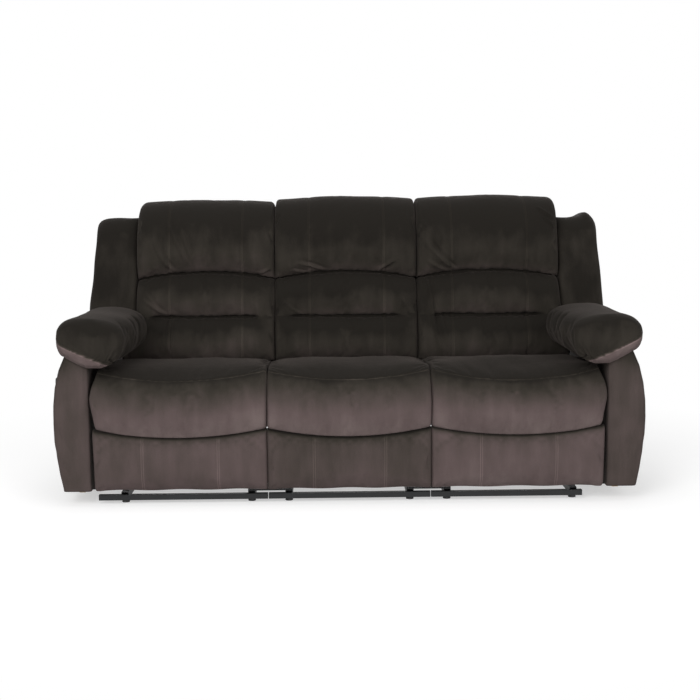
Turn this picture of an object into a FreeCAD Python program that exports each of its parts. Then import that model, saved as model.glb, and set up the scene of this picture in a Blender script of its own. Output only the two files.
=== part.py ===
"""Three-seat reclining sofa: two reclining end seats and a fixed centre seat.

Frame: +X to the viewer's right, +Y to the back, +Z up, millimetres. The origin is on the
floor under the middle of the bounding box, so the sofa faces -Y. A "left" piece is on the
-X side. Distances called "half" or "off" are measured from a seat's own centre plane.
"""
import FreeCAD, Part
import math
import os
from types import SimpleNamespace

import Sketcher

Vec = FreeCAD.Vector
DOC = FreeCAD.newDocument("RecliningSofa")
SHEET = DOC.addObject("Spreadsheet::Sheet", "Sizes")

# Each row: name, value in millimetres or degrees, what it measures.
SIZES = (
    ("mechanism_shift", 23.25, "an end seat's mechanism, from its cushion's middle towards the centre"),
    ("centre_half", 285.5, "half width of the centre seat cushion"),
    ("centre_back_half", 275.5, "half width of the centre back"),
    ("seam_gap", 3, "running gap between two seats that move past each other"),
    ("seat_outer", 900, "outer side of an end seat cushion"),
    ("footrest_inset", 15, "end footrest short of its seat cushion's outer side"),
    ("back_inset", 60, "end back short of its seat cushion's outer side"),
    ("wing_width", 158, "width of the wing beside an end back"),
    ("arm_clear", 5, "air between an end seat cushion and its arm"),
    ("arm_foot_width", 105, "arm at its lower edge"),
    ("arm_width", 135, "arm at the widest point of its bowed outer face"),
    ("arm_top_width", 80, "flat top of an arm"),
    # base
    ("foot_dia", 28, "foot diameter at the floor"),
    ("foot_top_dia", 22, "foot diameter under the rail"),
    ("foot_height", 15, "floor to underside of the rails"),
    ("rail_width", 25, "side rail tube, across"),
    ("rail_height", 25, "side rail tube, high"),
    ("tube_wall", 2, "wall of the steel tubes"),
    ("rail_inset", 81.75, "side rail from its end seat cushion's side"),
    ("centre_rail_inset", 70.5, "centre seat's rail from its cushion's side"),
    ("rail_front", 390, "front end of the side rails, forward of the origin"),
    ("rail_rear", 290, "rear end of the side rails, behind the origin"),
    ("tube_depth", 20, "cross tube, front to back"),
    ("tube_height", 19, "cross tube, high"),
    ("left_overhang", 89, "left front tube past its outer rail's middle"),
    ("right_overhang", 29, "right front tube past its outer rail's middle"),
    ("foot_inset", 22, "foot centre from the rail's end"),
    ("gang_thick", 5, "plate that joins two seats' rails"),
    ("gang_depth", 80, "joining plate, front to back"),
    # swing links
    ("plate_thick", 3, "steel of links, lugs and side plates"),
    ("plate_gap", 1, "air between two neighbouring plates"),
    ("pin_dia", 8, "rivet shank"),
    ("pin_clear", 0.08, "radial running clearance of a rivet"),
    ("head_dia", 14, "rivet head"),
    ("head_thick", 1.4, "rivet head"),
    ("head_gap", 0.2, "air under a rivet head"),
    ("swing_length", 160, "swing link between its pivots"),
    ("swing_half", 11, "half width of a swing link"),
    ("swing_lean", 12, "swing links lean back at rest, degrees"),
    ("front_pivot_fwd", 230, "front swing link's base pivot, forward of the origin"),
    ("rear_pivot_back", 120, "rear swing link's base pivot, behind the origin"),
    ("base_pivot_up", 55, "base pivots above the floor"),
    ("lug_half", 14, "half width of a base lug"),
    # footrest linkage, at rest; angles from straight forward, anticlockwise seen from +X side
    ("link_half", 9, "half width of a footrest link"),
    ("pivot_a_fwd", 351.3, "seat pivot of link A, forward of the origin"),
    ("pivot_a_up", 205.7, "seat pivot of link A, above the floor"),
    ("pivot_c_fwd", 375.1, "seat pivot of link C, forward of the origin"),
    ("pivot_c_up", 243.2, "seat pivot of link C, above the floor"),
    ("link_a_length", 158.3, "link A between pivots"),
    ("link_a_rest", -115.9, "link A at rest, degrees"),
    ("link_b_length", 210.7, "link B between pivots"),
    ("link_b_cross", 41.2, "crossing pivot on link B from its lower end"),
    ("link_b_rest", 56.7, "link B at rest, degrees"),
    ("link_c_length", 197.4, "link C between pivots"),
    ("link_c_cross", 161.9, "crossing pivot on link C from its seat pivot"),
    ("link_c_rest", -115.5, "link C at rest, degrees"),
    ("link_d_length", 162.1, "link D between pivots"),
    ("link_d_rest", 55.8, "link D at rest, degrees"),
    ("bracket_span", 44.1, "footrest bracket between its two pivots"),
    ("bracket_rest", -111.7, "footrest bracket at rest, degrees"),
    ("open_clear", 1.7, "radial clearance of the two pivots left open in the linkage"),
    # wooden seat frame
    ("board_thick", 22, "frame boards"),
    ("seat_board_low", 262, "lower edge of the seat frame boards"),
    ("seat_board_high", 338, "upper edge of the seat frame boards"),
    ("seat_board_front", 407, "front face of the seat's front board, forward"),
    ("seat_board_rear", 185, "rear face of the seat's rear board, behind"),
    ("front_board_inset", 25.75, "end of an end seat's front board from its cushion's side"),
    ("spring_thick", 4, "sinuous spring wire"),
    ("spring_pitch", 90, "spacing of the springs"),
    ("spring_swing", 22, "half width of a spring's wave"),
    ("spring_wave", 46, "length of one wave of a spring"),
    ("spring_drop", 10, "springs below the boards' upper edge"),
    # footrest
    ("footrest_low", 58, "lower edge of the footrest pad"),
    ("footrest_back", 412, "rear face of the footrest board, forward"),
    ("footrest_board_thick", 15, "footrest board"),
    ("footrest_board_low", 75, "lower edge of the footrest board"),
    ("footrest_board_high", 228, "upper edge of the footrest board"),
    ("footrest_board_inset", 29.75, "end of an end footrest's board from the seat cushion's side"),
    ("footrest_pad_thick", 27, "footrest pad in front of its board"),
    ("crease_end_up", 272, "crease between seat roll and footrest, at the seat's sides"),
    ("crease_sag", 32, "how far that crease hangs in the middle"),
    ("crease_gap", 3, "gap in that crease"),
    # seat cushion
    ("roll_front", 470, "front of the seat's roll, forward"),
    ("seat_top", 452, "seat cushion's surface at the rear"),
    ("seat_rear", 180, "rear end of the seat cushion, behind"),
    ("seat_crown", 17, "crown of the seat cushion"),
    ("stitch_end_up", 474, "height of the seat's front seam at its sides"),
    ("stitch_sag", 26, "how far that seam dips in the middle"),
    ("side_draw", 20, "how far a cushion's outline is drawn in at its side seams"),
    # back
    ("back_lean", 12, "back frame from upright, degrees"),
    ("back_foot_back", 250, "front of the back frame at its foot, behind the origin"),
    ("back_foot_up", 215, "foot of the back frame"),
    ("back_head_drop", 71, "head of the back frame below the headrest's top"),
    ("back_depth", 46, "back frame, front to back, level"),
    ("panel_thick", 8, "padded outer back panel, level"),
    ("back_bottom_up", 461, "underside of the back cushion"),
    ("back_front", 62, "front of the back cushion at its underside, behind the origin"),
    ("tier_low_up", 609, "lower crease across the back"),
    ("tier_low_back", 122, "depth of that crease, behind the origin"),
    ("tier_high_up", 776, "upper crease across the back, in the middle"),
    ("tier_high_drop", 24, "how much lower that crease is at the sides"),
    ("tier_high_back", 172, "depth of that crease, behind the origin"),
    ("head_turn_drop", 51, "from the headrest's top down to where its front turns over"),
    ("head_front_back", 222, "front of the headrest there"),
    ("head_top_up", 1056, "top of the headrest"),
    ("post_inset", 103.25, "outer face of a back post from its seat cushion's side"),
    ("hinge_back", 205, "back hinge, behind the origin"),
    ("hinge_up", 270, "back hinge, above the floor"),
    ("hinge_half", 13, "metal round the back hinge"),
    # wing
    ("wing_low", 577, "underside of the wing"),
    ("wing_front", 135, "front of the wing at its underside"),
    ("wing_high", 988, "top of the wing"),
    # arms
    ("arm_low", 54, "lower edge of the arm covers"),
    ("arm_top", 540, "flat top of the arms"),
    ("arm_front", 440, "front face of the arms, forward"),
    ("arm_rear", 330, "rear end of the arms"),
    ("arm_round", 80, "rounding of the arm's upper rear corner"),
    ("arm_panel_inset", 25, "wooden arm panel behind the arm's inner face"),
    ("arm_panel_front", 405, "front edge of the arm panel, forward"),
    ("arm_panel_rear", 285, "rear edge of the arm panel, behind"),
    ("arm_panel_high", 500, "upper edge of the arm panel"),
    ("bracket_width", 30, "flat bar that carries an arm"),
    ("bracket_thick", 4, "flat bar that carries an arm"),
    ("bracket_front", 330, "front arm bracket, forward"),
    ("bracket_rear", 220, "rear arm bracket, behind"),
    ("pillow_tuck", 10, "arm pillow's outer edge inside the arm's widest point"),
    ("pillow_overhang", 145, "arm pillow past the arm's inner face"),
    ("pillow_top", 650, "crown of the arm pillow"),
    ("pillow_front", 462, "front of the arm pillow, forward"),
    ("pillow_rear", 118, "rear end of the arm pillow, behind"),
    ("pillow_gap", 0.3, "pillow above the arm"),
    # release
    ("release_fwd", 250, "middle of the release, forward"),
    ("release_up", 400, "middle of the release, above the floor"),
    ("bezel_long", 124, "release bezel, front to back"),
    ("bezel_high", 74, "release bezel, high"),
    ("bezel_thick", 3, "flange of the release bezel"),
    ("bezel_proud", 2.5, "release bezel proud of the arm's widest point"),
    ("cup_long", 100, "hand recess, front to back, outside"),
    ("cup_high", 50, "hand recess, high, outside"),
    ("cup_deep", 34, "hand recess behind the flange"),
    ("cup_wall", 3, "wall of the hand recess"),
    ("paddle_long", 84, "release paddle"),
    ("paddle_high", 38, "release paddle"),
    ("paddle_thick", 6, "release paddle"),
    ("trunnion_dia", 6, "pivot pin of the release paddle"),
)

for row, (alias, value, note) in enumerate(SIZES, start=1):
    SHEET.set(f"A{row}", alias)
    SHEET.set(f"B{row}", str(value))
    SHEET.setAlias(f"B{row}", alias)
    SHEET.set(f"C{row}", note)
DOC.recompute()


class Size:
    """A length or angle together with the sheet expression that it comes from."""

    def __init__(self, value, text):
        self.value = value
        self.text = text

    def __add__(self, other):
        other = as_size(other)
        return Size(self.value + other.value, f"({self.text} + {other.text})")

    def __sub__(self, other):
        other = as_size(other)
        return Size(self.value - other.value, f"({self.text} - {other.text})")

    def __mul__(self, other):
        other = as_size(other)
        return Size(self.value * other.value, f"({self.text} * {other.text})")

    def __truediv__(self, other):
        other = as_size(other)
        return Size(self.value / other.value, f"({self.text} / {other.text})")

    def __radd__(self, other):
        return as_size(other) + self

    def __rsub__(self, other):
        return as_size(other) - self

    def __rmul__(self, other):
        return as_size(other) * self

    def __neg__(self):
        return Size(-self.value, f"(0 - {self.text})")


def as_size(number):
    """Give a plain number the same form as a sheet value."""
    if isinstance(number, Size):
        return number
    return Size(float(number), f"({float(number):.6f})")


def cos_of(angle):
    """Cosine of an angle in degrees."""
    return Size(math.cos(math.radians(angle.value)), f"cos({angle.text})")


def sin_of(angle):
    """Sine of an angle in degrees."""
    return Size(math.sin(math.radians(angle.value)), f"sin({angle.text})")


S = SimpleNamespace()
for alias, value, note in SIZES:
    setattr(S, alias, Size(float(getattr(SHEET, alias)), f"Sizes.{alias}"))

# Widths that follow from an end seat cushion's inner and outer sides
S.seat_inner = S.centre_half + S.seam_gap
SEAT_HALF = (S.seat_outer - S.seat_inner) / 2
S.seat_centre = S.seat_outer - SEAT_HALF - S.mechanism_shift
S.rail_off = SEAT_HALF - S.rail_inset
S.centre_rail_off = S.centre_half - S.centre_rail_inset
S.front_board_half = SEAT_HALF - S.front_board_inset
S.footrest_board_half = SEAT_HALF - S.footrest_board_inset
S.post_half = SEAT_HALF - S.post_inset
S.back_inner = S.centre_back_half + S.seam_gap
# Heights that follow the headrest's top
S.back_head_up = S.head_top_up - S.back_head_drop
S.head_front_up = S.head_top_up - S.head_turn_drop
# Outer sides that follow the end seat cushion's outer side
S.footrest_outer = S.seat_outer - S.footrest_inset
S.back_outer = S.seat_outer - S.back_inset
S.wing_outer = S.back_outer + S.wing_width
S.arm_inner = S.seat_outer + S.arm_clear
S.arm_foot_outer = S.arm_inner + S.arm_foot_width
S.arm_bulge_outer = S.arm_inner + S.arm_width
S.arm_shoulder = S.arm_inner + S.arm_top_width
S.arm_panel_in = S.arm_inner + S.arm_panel_inset
S.pillow_outer = S.arm_bulge_outer - S.pillow_tuck
S.pillow_inner = S.arm_inner - S.pillow_overhang
S.bezel_face = S.arm_bulge_outer + S.bezel_proud

LEFT = -1
RIGHT = 1
SIDE_NAMES = {LEFT: "left", RIGHT: "right"}

# Levels and planes that several pieces share.
PIN_RADIUS = S.pin_dia / 2
HOLE_RADIUS = PIN_RADIUS + S.pin_clear
OPEN_HOLE_RADIUS = PIN_RADIUS + S.open_clear
HEAD_RADIUS = S.head_dia / 2
RAIL_TOP = S.foot_height + S.rail_height
LAYER = S.plate_thick + S.plate_gap
# Plates of the mechanism stand side by side; each value is the face nearest the seat's centre.
LUG_IN = S.rail_off - S.rail_width / 2 + S.plate_thick
SWING_IN = LUG_IN - LAYER
PLATE_IN = SWING_IN - LAYER
LINK_A_IN = PLATE_IN - LAYER
LINK_B_IN = LINK_A_IN - LAYER
BRACKET_IN = LINK_B_IN - LAYER
LINK_C_IN = BRACKET_IN - LAYER
LINK_D_IN = LINK_C_IN - LAYER
PLATE_OUT = PLATE_IN + S.plate_thick
BACK_BRACKET_IN = S.post_half
CENTRE_PLATE_IN = S.centre_rail_off + S.rail_width / 2
CENTRE_PLATE_OUT = CENTRE_PLATE_IN + S.plate_thick
CENTRE_POST_HALF = CENTRE_PLATE_OUT


def bind(obj, name, size):
    """Give a property its value and tie it to the sheet."""
    size = as_size(size)
    setattr(obj, name, size.value)
    obj.setExpression(name, size.text)


def place(obj, along=0, back=0, up=0, turn_x=None):
    """Put an object at a point of the sofa, turned about X where it leans."""
    along = as_size(along)
    back = as_size(back)
    up = as_size(up)
    turn = FreeCAD.Rotation()
    if turn_x is not None:
        turn = FreeCAD.Rotation(Vec(1, 0, 0), turn_x.value)
    obj.Placement = FreeCAD.Placement(Vec(along.value, back.value, up.value), turn)
    obj.setExpression("Placement.Base.x", along.text)
    obj.setExpression("Placement.Base.y", back.text)
    obj.setExpression("Placement.Base.z", up.text)
    if turn_x is not None:
        obj.setExpression("Placement.Rotation.Angle", turn_x.text)


def new_body(label):
    """Start a piece that is made from sketches."""
    body = DOC.addObject("PartDesign::Body", label)
    body.Label = label
    return body


def origin_plane(body, role):
    """Find one of the body's own origin planes."""
    for feature in body.Origin.OriginFeatures:
        if feature.Role == role:
            return feature
    raise ValueError(role)


def new_sketch(body, role, offset=0):
    """Start a sketch on an origin plane, moved along that plane's normal."""
    offset = as_size(offset)
    sketch = body.newObject("Sketcher::SketchObject", "Sketch")
    sketch.AttachmentSupport = [(origin_plane(body, role), "")]
    sketch.MapMode = "FlatFace"
    sketch.AttachmentOffset = FreeCAD.Placement(Vec(0, 0, offset.value), FreeCAD.Rotation())
    sketch.setExpression("AttachmentOffset.Base.z", offset.text)
    return sketch


def fix_point(sketch, element, point, across, up):
    """Hold a sketch point at its two distances from the sketch's origin."""
    for kind, axis, distance in (("DistanceX", -2, as_size(across)), ("DistanceY", -1, as_size(up))):
        if abs(distance.value) < 1e-9:
            sketch.addConstraint(Sketcher.Constraint("PointOnObject", element, point, axis))
            continue
        rule = Sketcher.Constraint(kind, -1, 1, element, point, distance.value)
        index = sketch.addConstraint(rule)
        sketch.setExpression(f"Constraints[{index}]", distance.text)


def polygon(sketch, corners):
    """Draw a closed outline through the corners."""
    first = sketch.GeometryCount
    count = len(corners)
    sizes = [(as_size(across), as_size(up)) for across, up in corners]
    lines = []
    for index, (across, up) in enumerate(sizes):
        next_across, next_up = sizes[(index + 1) % count]
        start = Vec(across.value, up.value, 0)
        end = Vec(next_across.value, next_up.value, 0)
        lines.append(Part.LineSegment(start, end))
    sketch.addGeometry(lines, False)
    joints = []
    for index in range(count):
        following = first + (index + 1) % count
        joints.append(Sketcher.Constraint("Coincident", first + index, 2, following, 1))
    sketch.addConstraint(joints)
    for index, (across, up) in enumerate(sizes):
        fix_point(sketch, first + index, 1, across, up)


def rectangle(sketch, low_across, high_across, low_up, high_up):
    """Draw a rectangle between two pairs of values."""
    corners = ((low_across, low_up), (high_across, low_up), (high_across, high_up), (low_across, high_up))
    polygon(sketch, corners)


def circle(sketch, across, up, radius):
    """Draw a circle."""
    across = as_size(across)
    up = as_size(up)
    centre = Vec(across.value, up.value, 0)
    element = sketch.addGeometry(Part.Circle(centre, Vec(0, 0, 1), radius.value), False)
    fix_point(sketch, element, 3, across, up)
    index = sketch.addConstraint(Sketcher.Constraint("Radius", element, radius.value))
    sketch.setExpression(f"Constraints[{index}]", radius.text)


def slot(sketch, length, radius):
    """Draw a link's outline: two half circles joined by lines, the first round the origin."""
    reach = length.value
    half = radius.value
    quarter = math.pi / 2
    near = Part.ArcOfCircle(Part.Circle(Vec(0, 0, 0), Vec(0, 0, 1), half), quarter, 3 * quarter)
    far = Part.ArcOfCircle(Part.Circle(Vec(reach, 0, 0), Vec(0, 0, 1), half), -quarter, quarter)
    low = Part.LineSegment(Vec(0, -half, 0), Vec(reach, -half, 0))
    high = Part.LineSegment(Vec(reach, half, 0), Vec(0, half, 0))
    first = sketch.addGeometry(near, False)
    second = sketch.addGeometry(far, False)
    third = sketch.addGeometry(low, False)
    fourth = sketch.addGeometry(high, False)
    sketch.addConstraint([
        Sketcher.Constraint("Tangent", first, 2, third, 1),
        Sketcher.Constraint("Tangent", third, 2, second, 1),
        Sketcher.Constraint("Tangent", second, 2, fourth, 1),
        Sketcher.Constraint("Tangent", fourth, 2, first, 1),
        Sketcher.Constraint("Coincident", first, 3, -1, 1),
        Sketcher.Constraint("PointOnObject", second, 3, -1),
        Sketcher.Constraint("Equal", first, second),
    ])
    index = sketch.addConstraint(Sketcher.Constraint("Radius", first, half))
    sketch.setExpression(f"Constraints[{index}]", radius.text)
    index = sketch.addConstraint(Sketcher.Constraint("DistanceX", -1, 1, second, 3, reach))
    sketch.setExpression(f"Constraints[{index}]", length.text)


def pad(body, sketch, length, symmetric=False):
    """Raise a sketch along its normal."""
    feature = body.newObject("PartDesign::Pad", "Pad")
    feature.Profile = sketch
    bind(feature, "Length", length)
    if symmetric:
        feature.SideType = "Symmetric"
    return feature


def pocket(body, sketch, length, symmetric=False, towards_normal=False):
    """Cut a sketch into the body, against its normal unless told otherwise."""
    feature = body.newObject("PartDesign::Pocket", "Pocket")
    feature.Profile = sketch
    bind(feature, "Length", length)
    feature.Reversed = towards_normal
    if symmetric:
        feature.SideType = "Symmetric"
    return feature


def pin(body, along, up, near, far, radius):
    """Add a round pin along X between two planes."""
    sketch = new_sketch(body, "YZ_Plane", near)
    circle(sketch, along, up, radius)
    pad(body, sketch, far - near)


def rivet_inward(body, along, up, plate_in, last_in):
    """Rivet from a plate towards the seat's centre, through the plate whose inner face is given."""
    head_top = last_in - S.head_gap
    pin(body, along, up, head_top, plate_in, PIN_RADIUS)
    pin(body, along, up, head_top - S.head_thick, head_top, HEAD_RADIUS)


def rivet_outward(body, along, up, plate_out, last_out):
    """Rivet from a plate away from the seat's centre, through the plate whose outer face is given."""
    head_low = last_out + S.head_gap
    pin(body, along, up, plate_out, head_low, PIN_RADIUS)
    pin(body, along, up, head_low, head_low + S.head_thick, HEAD_RADIUS)


def round_edges(body, radius, chosen):
    """Round the chosen edges of a body."""
    DOC.recompute()
    base = body.Tip
    names = []
    for index, edge in enumerate(base.Shape.Edges, start=1):
        if chosen(edge):
            names.append(f"Edge{index}")
    feature = body.newObject("PartDesign::Fillet", "Fillet")
    feature.Base = (base, names)
    bind(feature, "Radius", radius)
    return feature


def runs_along_x(edge):
    """True for a straight edge parallel to X."""
    if edge.Curve.TypeId != "Part::GeomLine":
        return False
    return abs(abs(edge.Curve.Direction.x) - 1) < 1e-6


def mirror_pair(body):
    """Repeat the whole piece on the other side of the seat's centre plane."""
    DOC.recompute()
    feature = body.newObject("PartDesign::Mirrored", "Pair")
    feature.TransformMode = "Whole shape"
    feature.MirrorPlane = (origin_plane(body, "YZ_Plane"), [""])
    body.Tip = feature
    return body


def group(label, members):
    """Hold the solids of one node together."""
    compound = DOC.addObject("Part::Compound", label)
    compound.Label = label
    compound.Links = members
    return compound


def board(label, low_x, high_x, low_y, high_y, low_z, high_z):
    """A rectangular board between three pairs of values."""
    box = DOC.addObject("Part::Box", label)
    low_x = as_size(low_x)
    high_x = as_size(high_x)
    if low_x.value > high_x.value:
        low_x, high_x = high_x, low_x
    bind(box, "Length", high_x - low_x)
    bind(box, "Width", high_y - as_size(low_y))
    bind(box, "Height", high_z - as_size(low_z))
    place(box, low_x, low_y, low_z)
    return box


# Steel base: rails, cross tubes, feet, joining plates and arm brackets

END_SEATS = ((LEFT, -S.seat_centre), (RIGHT, S.seat_centre))
RAIL_MIDDLES = (
    -S.seat_centre - S.rail_off,
    -S.seat_centre + S.rail_off,
    -S.centre_rail_off,
    as_size(S.centre_rail_off),
    S.seat_centre - S.rail_off,
    S.seat_centre + S.rail_off,
)


def tube_section(sketch, low_across, high_across, low_up, high_up):
    """Rectangular tube: an outline with its bore."""
    rectangle(sketch, low_across, high_across, low_up, high_up)
    wall = S.tube_wall
    rectangle(sketch, low_across + wall, high_across - wall, low_up + wall, high_up - wall)


def make_rail(label, middle, lug_side):
    """A side rail; an end seat's rail carries two lugs for its swing links."""
    body = new_body(label)
    half = S.rail_width / 2
    sketch = new_sketch(body, "XZ_Plane", -S.rail_rear)
    tube_section(sketch, -half, half, S.foot_height, RAIL_TOP)
    pad(body, sketch, S.rail_front + S.rail_rear)
    if lug_side:
        lug_near = lug_side * (LUG_IN - S.rail_off)
        lug_far = lug_side * (LUG_IN + S.plate_thick - S.rail_off)
        swing_near = lug_side * (SWING_IN - S.head_gap - S.rail_off)
        head_near = lug_side * (SWING_IN - S.head_gap - S.head_thick - S.rail_off)
        low_x, high_x = sorted((lug_near, lug_far), key=lambda size: size.value)
        shank = sorted((swing_near, lug_near), key=lambda size: size.value)
        head = sorted((head_near, swing_near), key=lambda size: size.value)
        for pivot in (-S.front_pivot_fwd, as_size(S.rear_pivot_back)):
            top = S.base_pivot_up + S.lug_half
            sketch = new_sketch(body, "YZ_Plane", low_x)
            shoulder = S.lug_half / 2
            polygon(sketch, (
                (pivot - 2 * S.lug_half, RAIL_TOP - S.tube_wall),
                (pivot + 2 * S.lug_half, RAIL_TOP - S.tube_wall),
                (pivot + S.lug_half, top - shoulder),
                (pivot + shoulder, top),
                (pivot - shoulder, top),
                (pivot - S.lug_half, top - shoulder),
            ))
            pad(body, sketch, high_x - low_x)
            pin(body, pivot, S.base_pivot_up, shank[0], shank[1], PIN_RADIUS)
            pin(body, pivot, S.base_pivot_up, head[0], head[1], HEAD_RADIUS)
    place(body, middle)
    return body


def make_foot(label, along, back):
    """A tapered plastic glide under a rail."""
    body = new_body(label)
    sketch = new_sketch(body, "XZ_Plane")
    polygon(sketch, (
        (0, 0),
        (S.foot_dia / 2 - 1, 0),
        (S.foot_dia / 2, 1.5),
        (S.foot_top_dia / 2, S.foot_height),
        (0, S.foot_height),
    ))
    feature = body.newObject("PartDesign::Revolution", "Turned")
    feature.Profile = sketch
    feature.ReferenceAxis = (sketch, ["V_Axis"])
    feature.Angle = 360
    place(body, along, back)
    return body


def make_cross_tube(label, low_x, high_x, low_y):
    """A square tube across the rails' ends."""
    body = new_body(label)
    sketch = new_sketch(body, "YZ_Plane")
    tube_section(sketch, 0, S.tube_depth, 0, S.tube_height)
    pad(body, sketch, high_x - low_x)
    place(body, low_x, low_y, S.foot_height)
    return body


def make_base():
    """Everything that stands on the floor and does not move."""
    rails = []
    feet = []
    # an end seat's lugs face its centre, so their side changes from rail to rail
    lug_sides = (-1, 1, 0, 0, -1, 1)
    for index, (middle, lug_side) in enumerate(zip(RAIL_MIDDLES, lug_sides), start=1):
        rails.append(make_rail(f"rail_{index}", middle, lug_side))
        feet.append(make_foot(f"foot_front_{index}", middle, S.foot_inset - S.rail_front))
        feet.append(make_foot(f"foot_rear_{index}", middle, S.rail_rear - S.foot_inset))
    group("side_rails", rails)
    group("feet", feet)

    outer_left = -S.seat_centre - S.rail_off
    outer_right = S.seat_centre + S.rail_off
    joint_x = S.centre_half + S.seam_gap / 2
    half_gap = S.seam_gap / 2
    front_y = -S.rail_front - S.tube_depth
    spans = (
        ("left", outer_left - S.left_overhang, -joint_x - half_gap),
        ("centre", half_gap - joint_x, joint_x - half_gap),
        ("right", joint_x + half_gap, outer_right + S.right_overhang),
    )
    tubes = []
    for name, low_x, high_x in spans:
        tubes.append(make_cross_tube(f"front_tube_{name}", low_x, high_x, front_y))
    half = S.rail_width / 2
    rear_spans = (
        ("left", outer_left - half, -joint_x - half_gap),
        ("centre", half_gap - joint_x, joint_x - half_gap),
        ("right", joint_x + half_gap, outer_right + half),
    )
    for name, low_x, high_x in rear_spans:
        tubes.append(make_cross_tube(f"rear_tube_{name}", low_x, high_x, S.rail_rear))
    group("cross_tubes", tubes)

    plates = []
    inner = S.centre_rail_off - half
    outer = S.seat_centre - S.rail_off + half
    for side in (LEFT, RIGHT):
        for name, low_y in (("front", -S.rail_front), ("rear", S.rail_rear - S.gang_depth)):
            label = f"gang_{name}_{SIDE_NAMES[side]}"
            high_y = low_y + S.gang_depth
            low_z = RAIL_TOP
            plates.append(board(label, side * inner, side * outer, low_y, high_y, low_z, low_z + S.gang_thick))
    group("gang_plates", plates)

    bars = []
    bar_in = outer_right - half + S.swing_half / 2
    bar_out = S.arm_panel_in + S.board_thick
    for side in (LEFT, RIGHT):
        for name, middle in (("front", -S.bracket_front), ("rear", as_size(S.bracket_rear))):
            label = f"arm_bar_{name}_{SIDE_NAMES[side]}"
            low_y = middle - S.bracket_width / 2
            high_y = middle + S.bracket_width / 2
            high_z = RAIL_TOP + S.bracket_thick
            bars.append(board(label, side * bar_in, side * bar_out, low_y, high_y, RAIL_TOP, high_z))
    group("arm_brackets", bars)


# Reclining mechanism of an end seat

TRAVEL_LEAN = -S.swing_lean
FRONT_TOP_Y = S.swing_length * sin_of(S.swing_lean) - S.front_pivot_fwd
REAR_TOP_Y = S.swing_length * sin_of(S.swing_lean) + S.rear_pivot_back
SWING_TOP_Z = S.base_pivot_up + S.swing_length * cos_of(S.swing_lean)


def end_of(start_fwd, start_up, length, angle):
    """Far end of a link, as distance forward and height."""
    return start_fwd + length * cos_of(angle), start_up + length * sin_of(angle)


LINK_A_END = end_of(S.pivot_a_fwd, S.pivot_a_up, S.link_a_length, S.link_a_rest)
LINK_C_END = end_of(S.pivot_c_fwd, S.pivot_c_up, S.link_c_length, S.link_c_rest)
LINK_B_END = end_of(LINK_A_END[0], LINK_A_END[1], S.link_b_length, S.link_b_rest)
LINK_D_END = end_of(LINK_C_END[0], LINK_C_END[1], S.link_d_length, S.link_d_rest)
BRACKET_LOW = end_of(LINK_B_END[0], LINK_B_END[1], S.bracket_span, S.bracket_rest)


def make_link(label, centre, start, angle, inner_face, length, half, holes=(), rivets=(), studs=()):
    """A pair of flat links.

    Each hole is (distance along the link, radius). Each rivet is (distance, inner face of the
    plate that it passes through). Each stud is (distance, near plane, far plane).
    """
    body = new_body(label)
    sketch = new_sketch(body, "YZ_Plane", inner_face)
    slot(sketch, length, half)
    for distance, radius in holes:
        circle(sketch, distance, 0, radius)
    pad(body, sketch, S.plate_thick)
    for distance, last_in in rivets:
        rivet_inward(body, distance, 0, inner_face, last_in)
    for distance, near, far in studs:
        pin(body, distance, 0, near, far, PIN_RADIUS)
    mirror_pair(body)
    # a link lies along its own +Y, and forward is -Y, so it turns by the angle's supplement
    place(body, centre, -start[0], start[1], 180 - angle)
    return body


def make_swing_links(name, centre):
    """Front and rear swing links, which carry the seat over the base."""
    lean = 90 - S.swing_lean
    for which, pivot_y in (("front", -S.front_pivot_fwd), ("rear", as_size(S.rear_pivot_back))):
        body = new_body(f"{name}_{which}_swing_links")
        sketch = new_sketch(body, "YZ_Plane", SWING_IN)
        slot(sketch, S.swing_length, S.swing_half)
        circle(sketch, 0, 0, HOLE_RADIUS)
        circle(sketch, S.swing_length, 0, HOLE_RADIUS)
        pad(body, sketch, S.plate_thick)
        mirror_pair(body)
        place(body, centre, pivot_y, S.base_pivot_up, lean)


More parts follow.
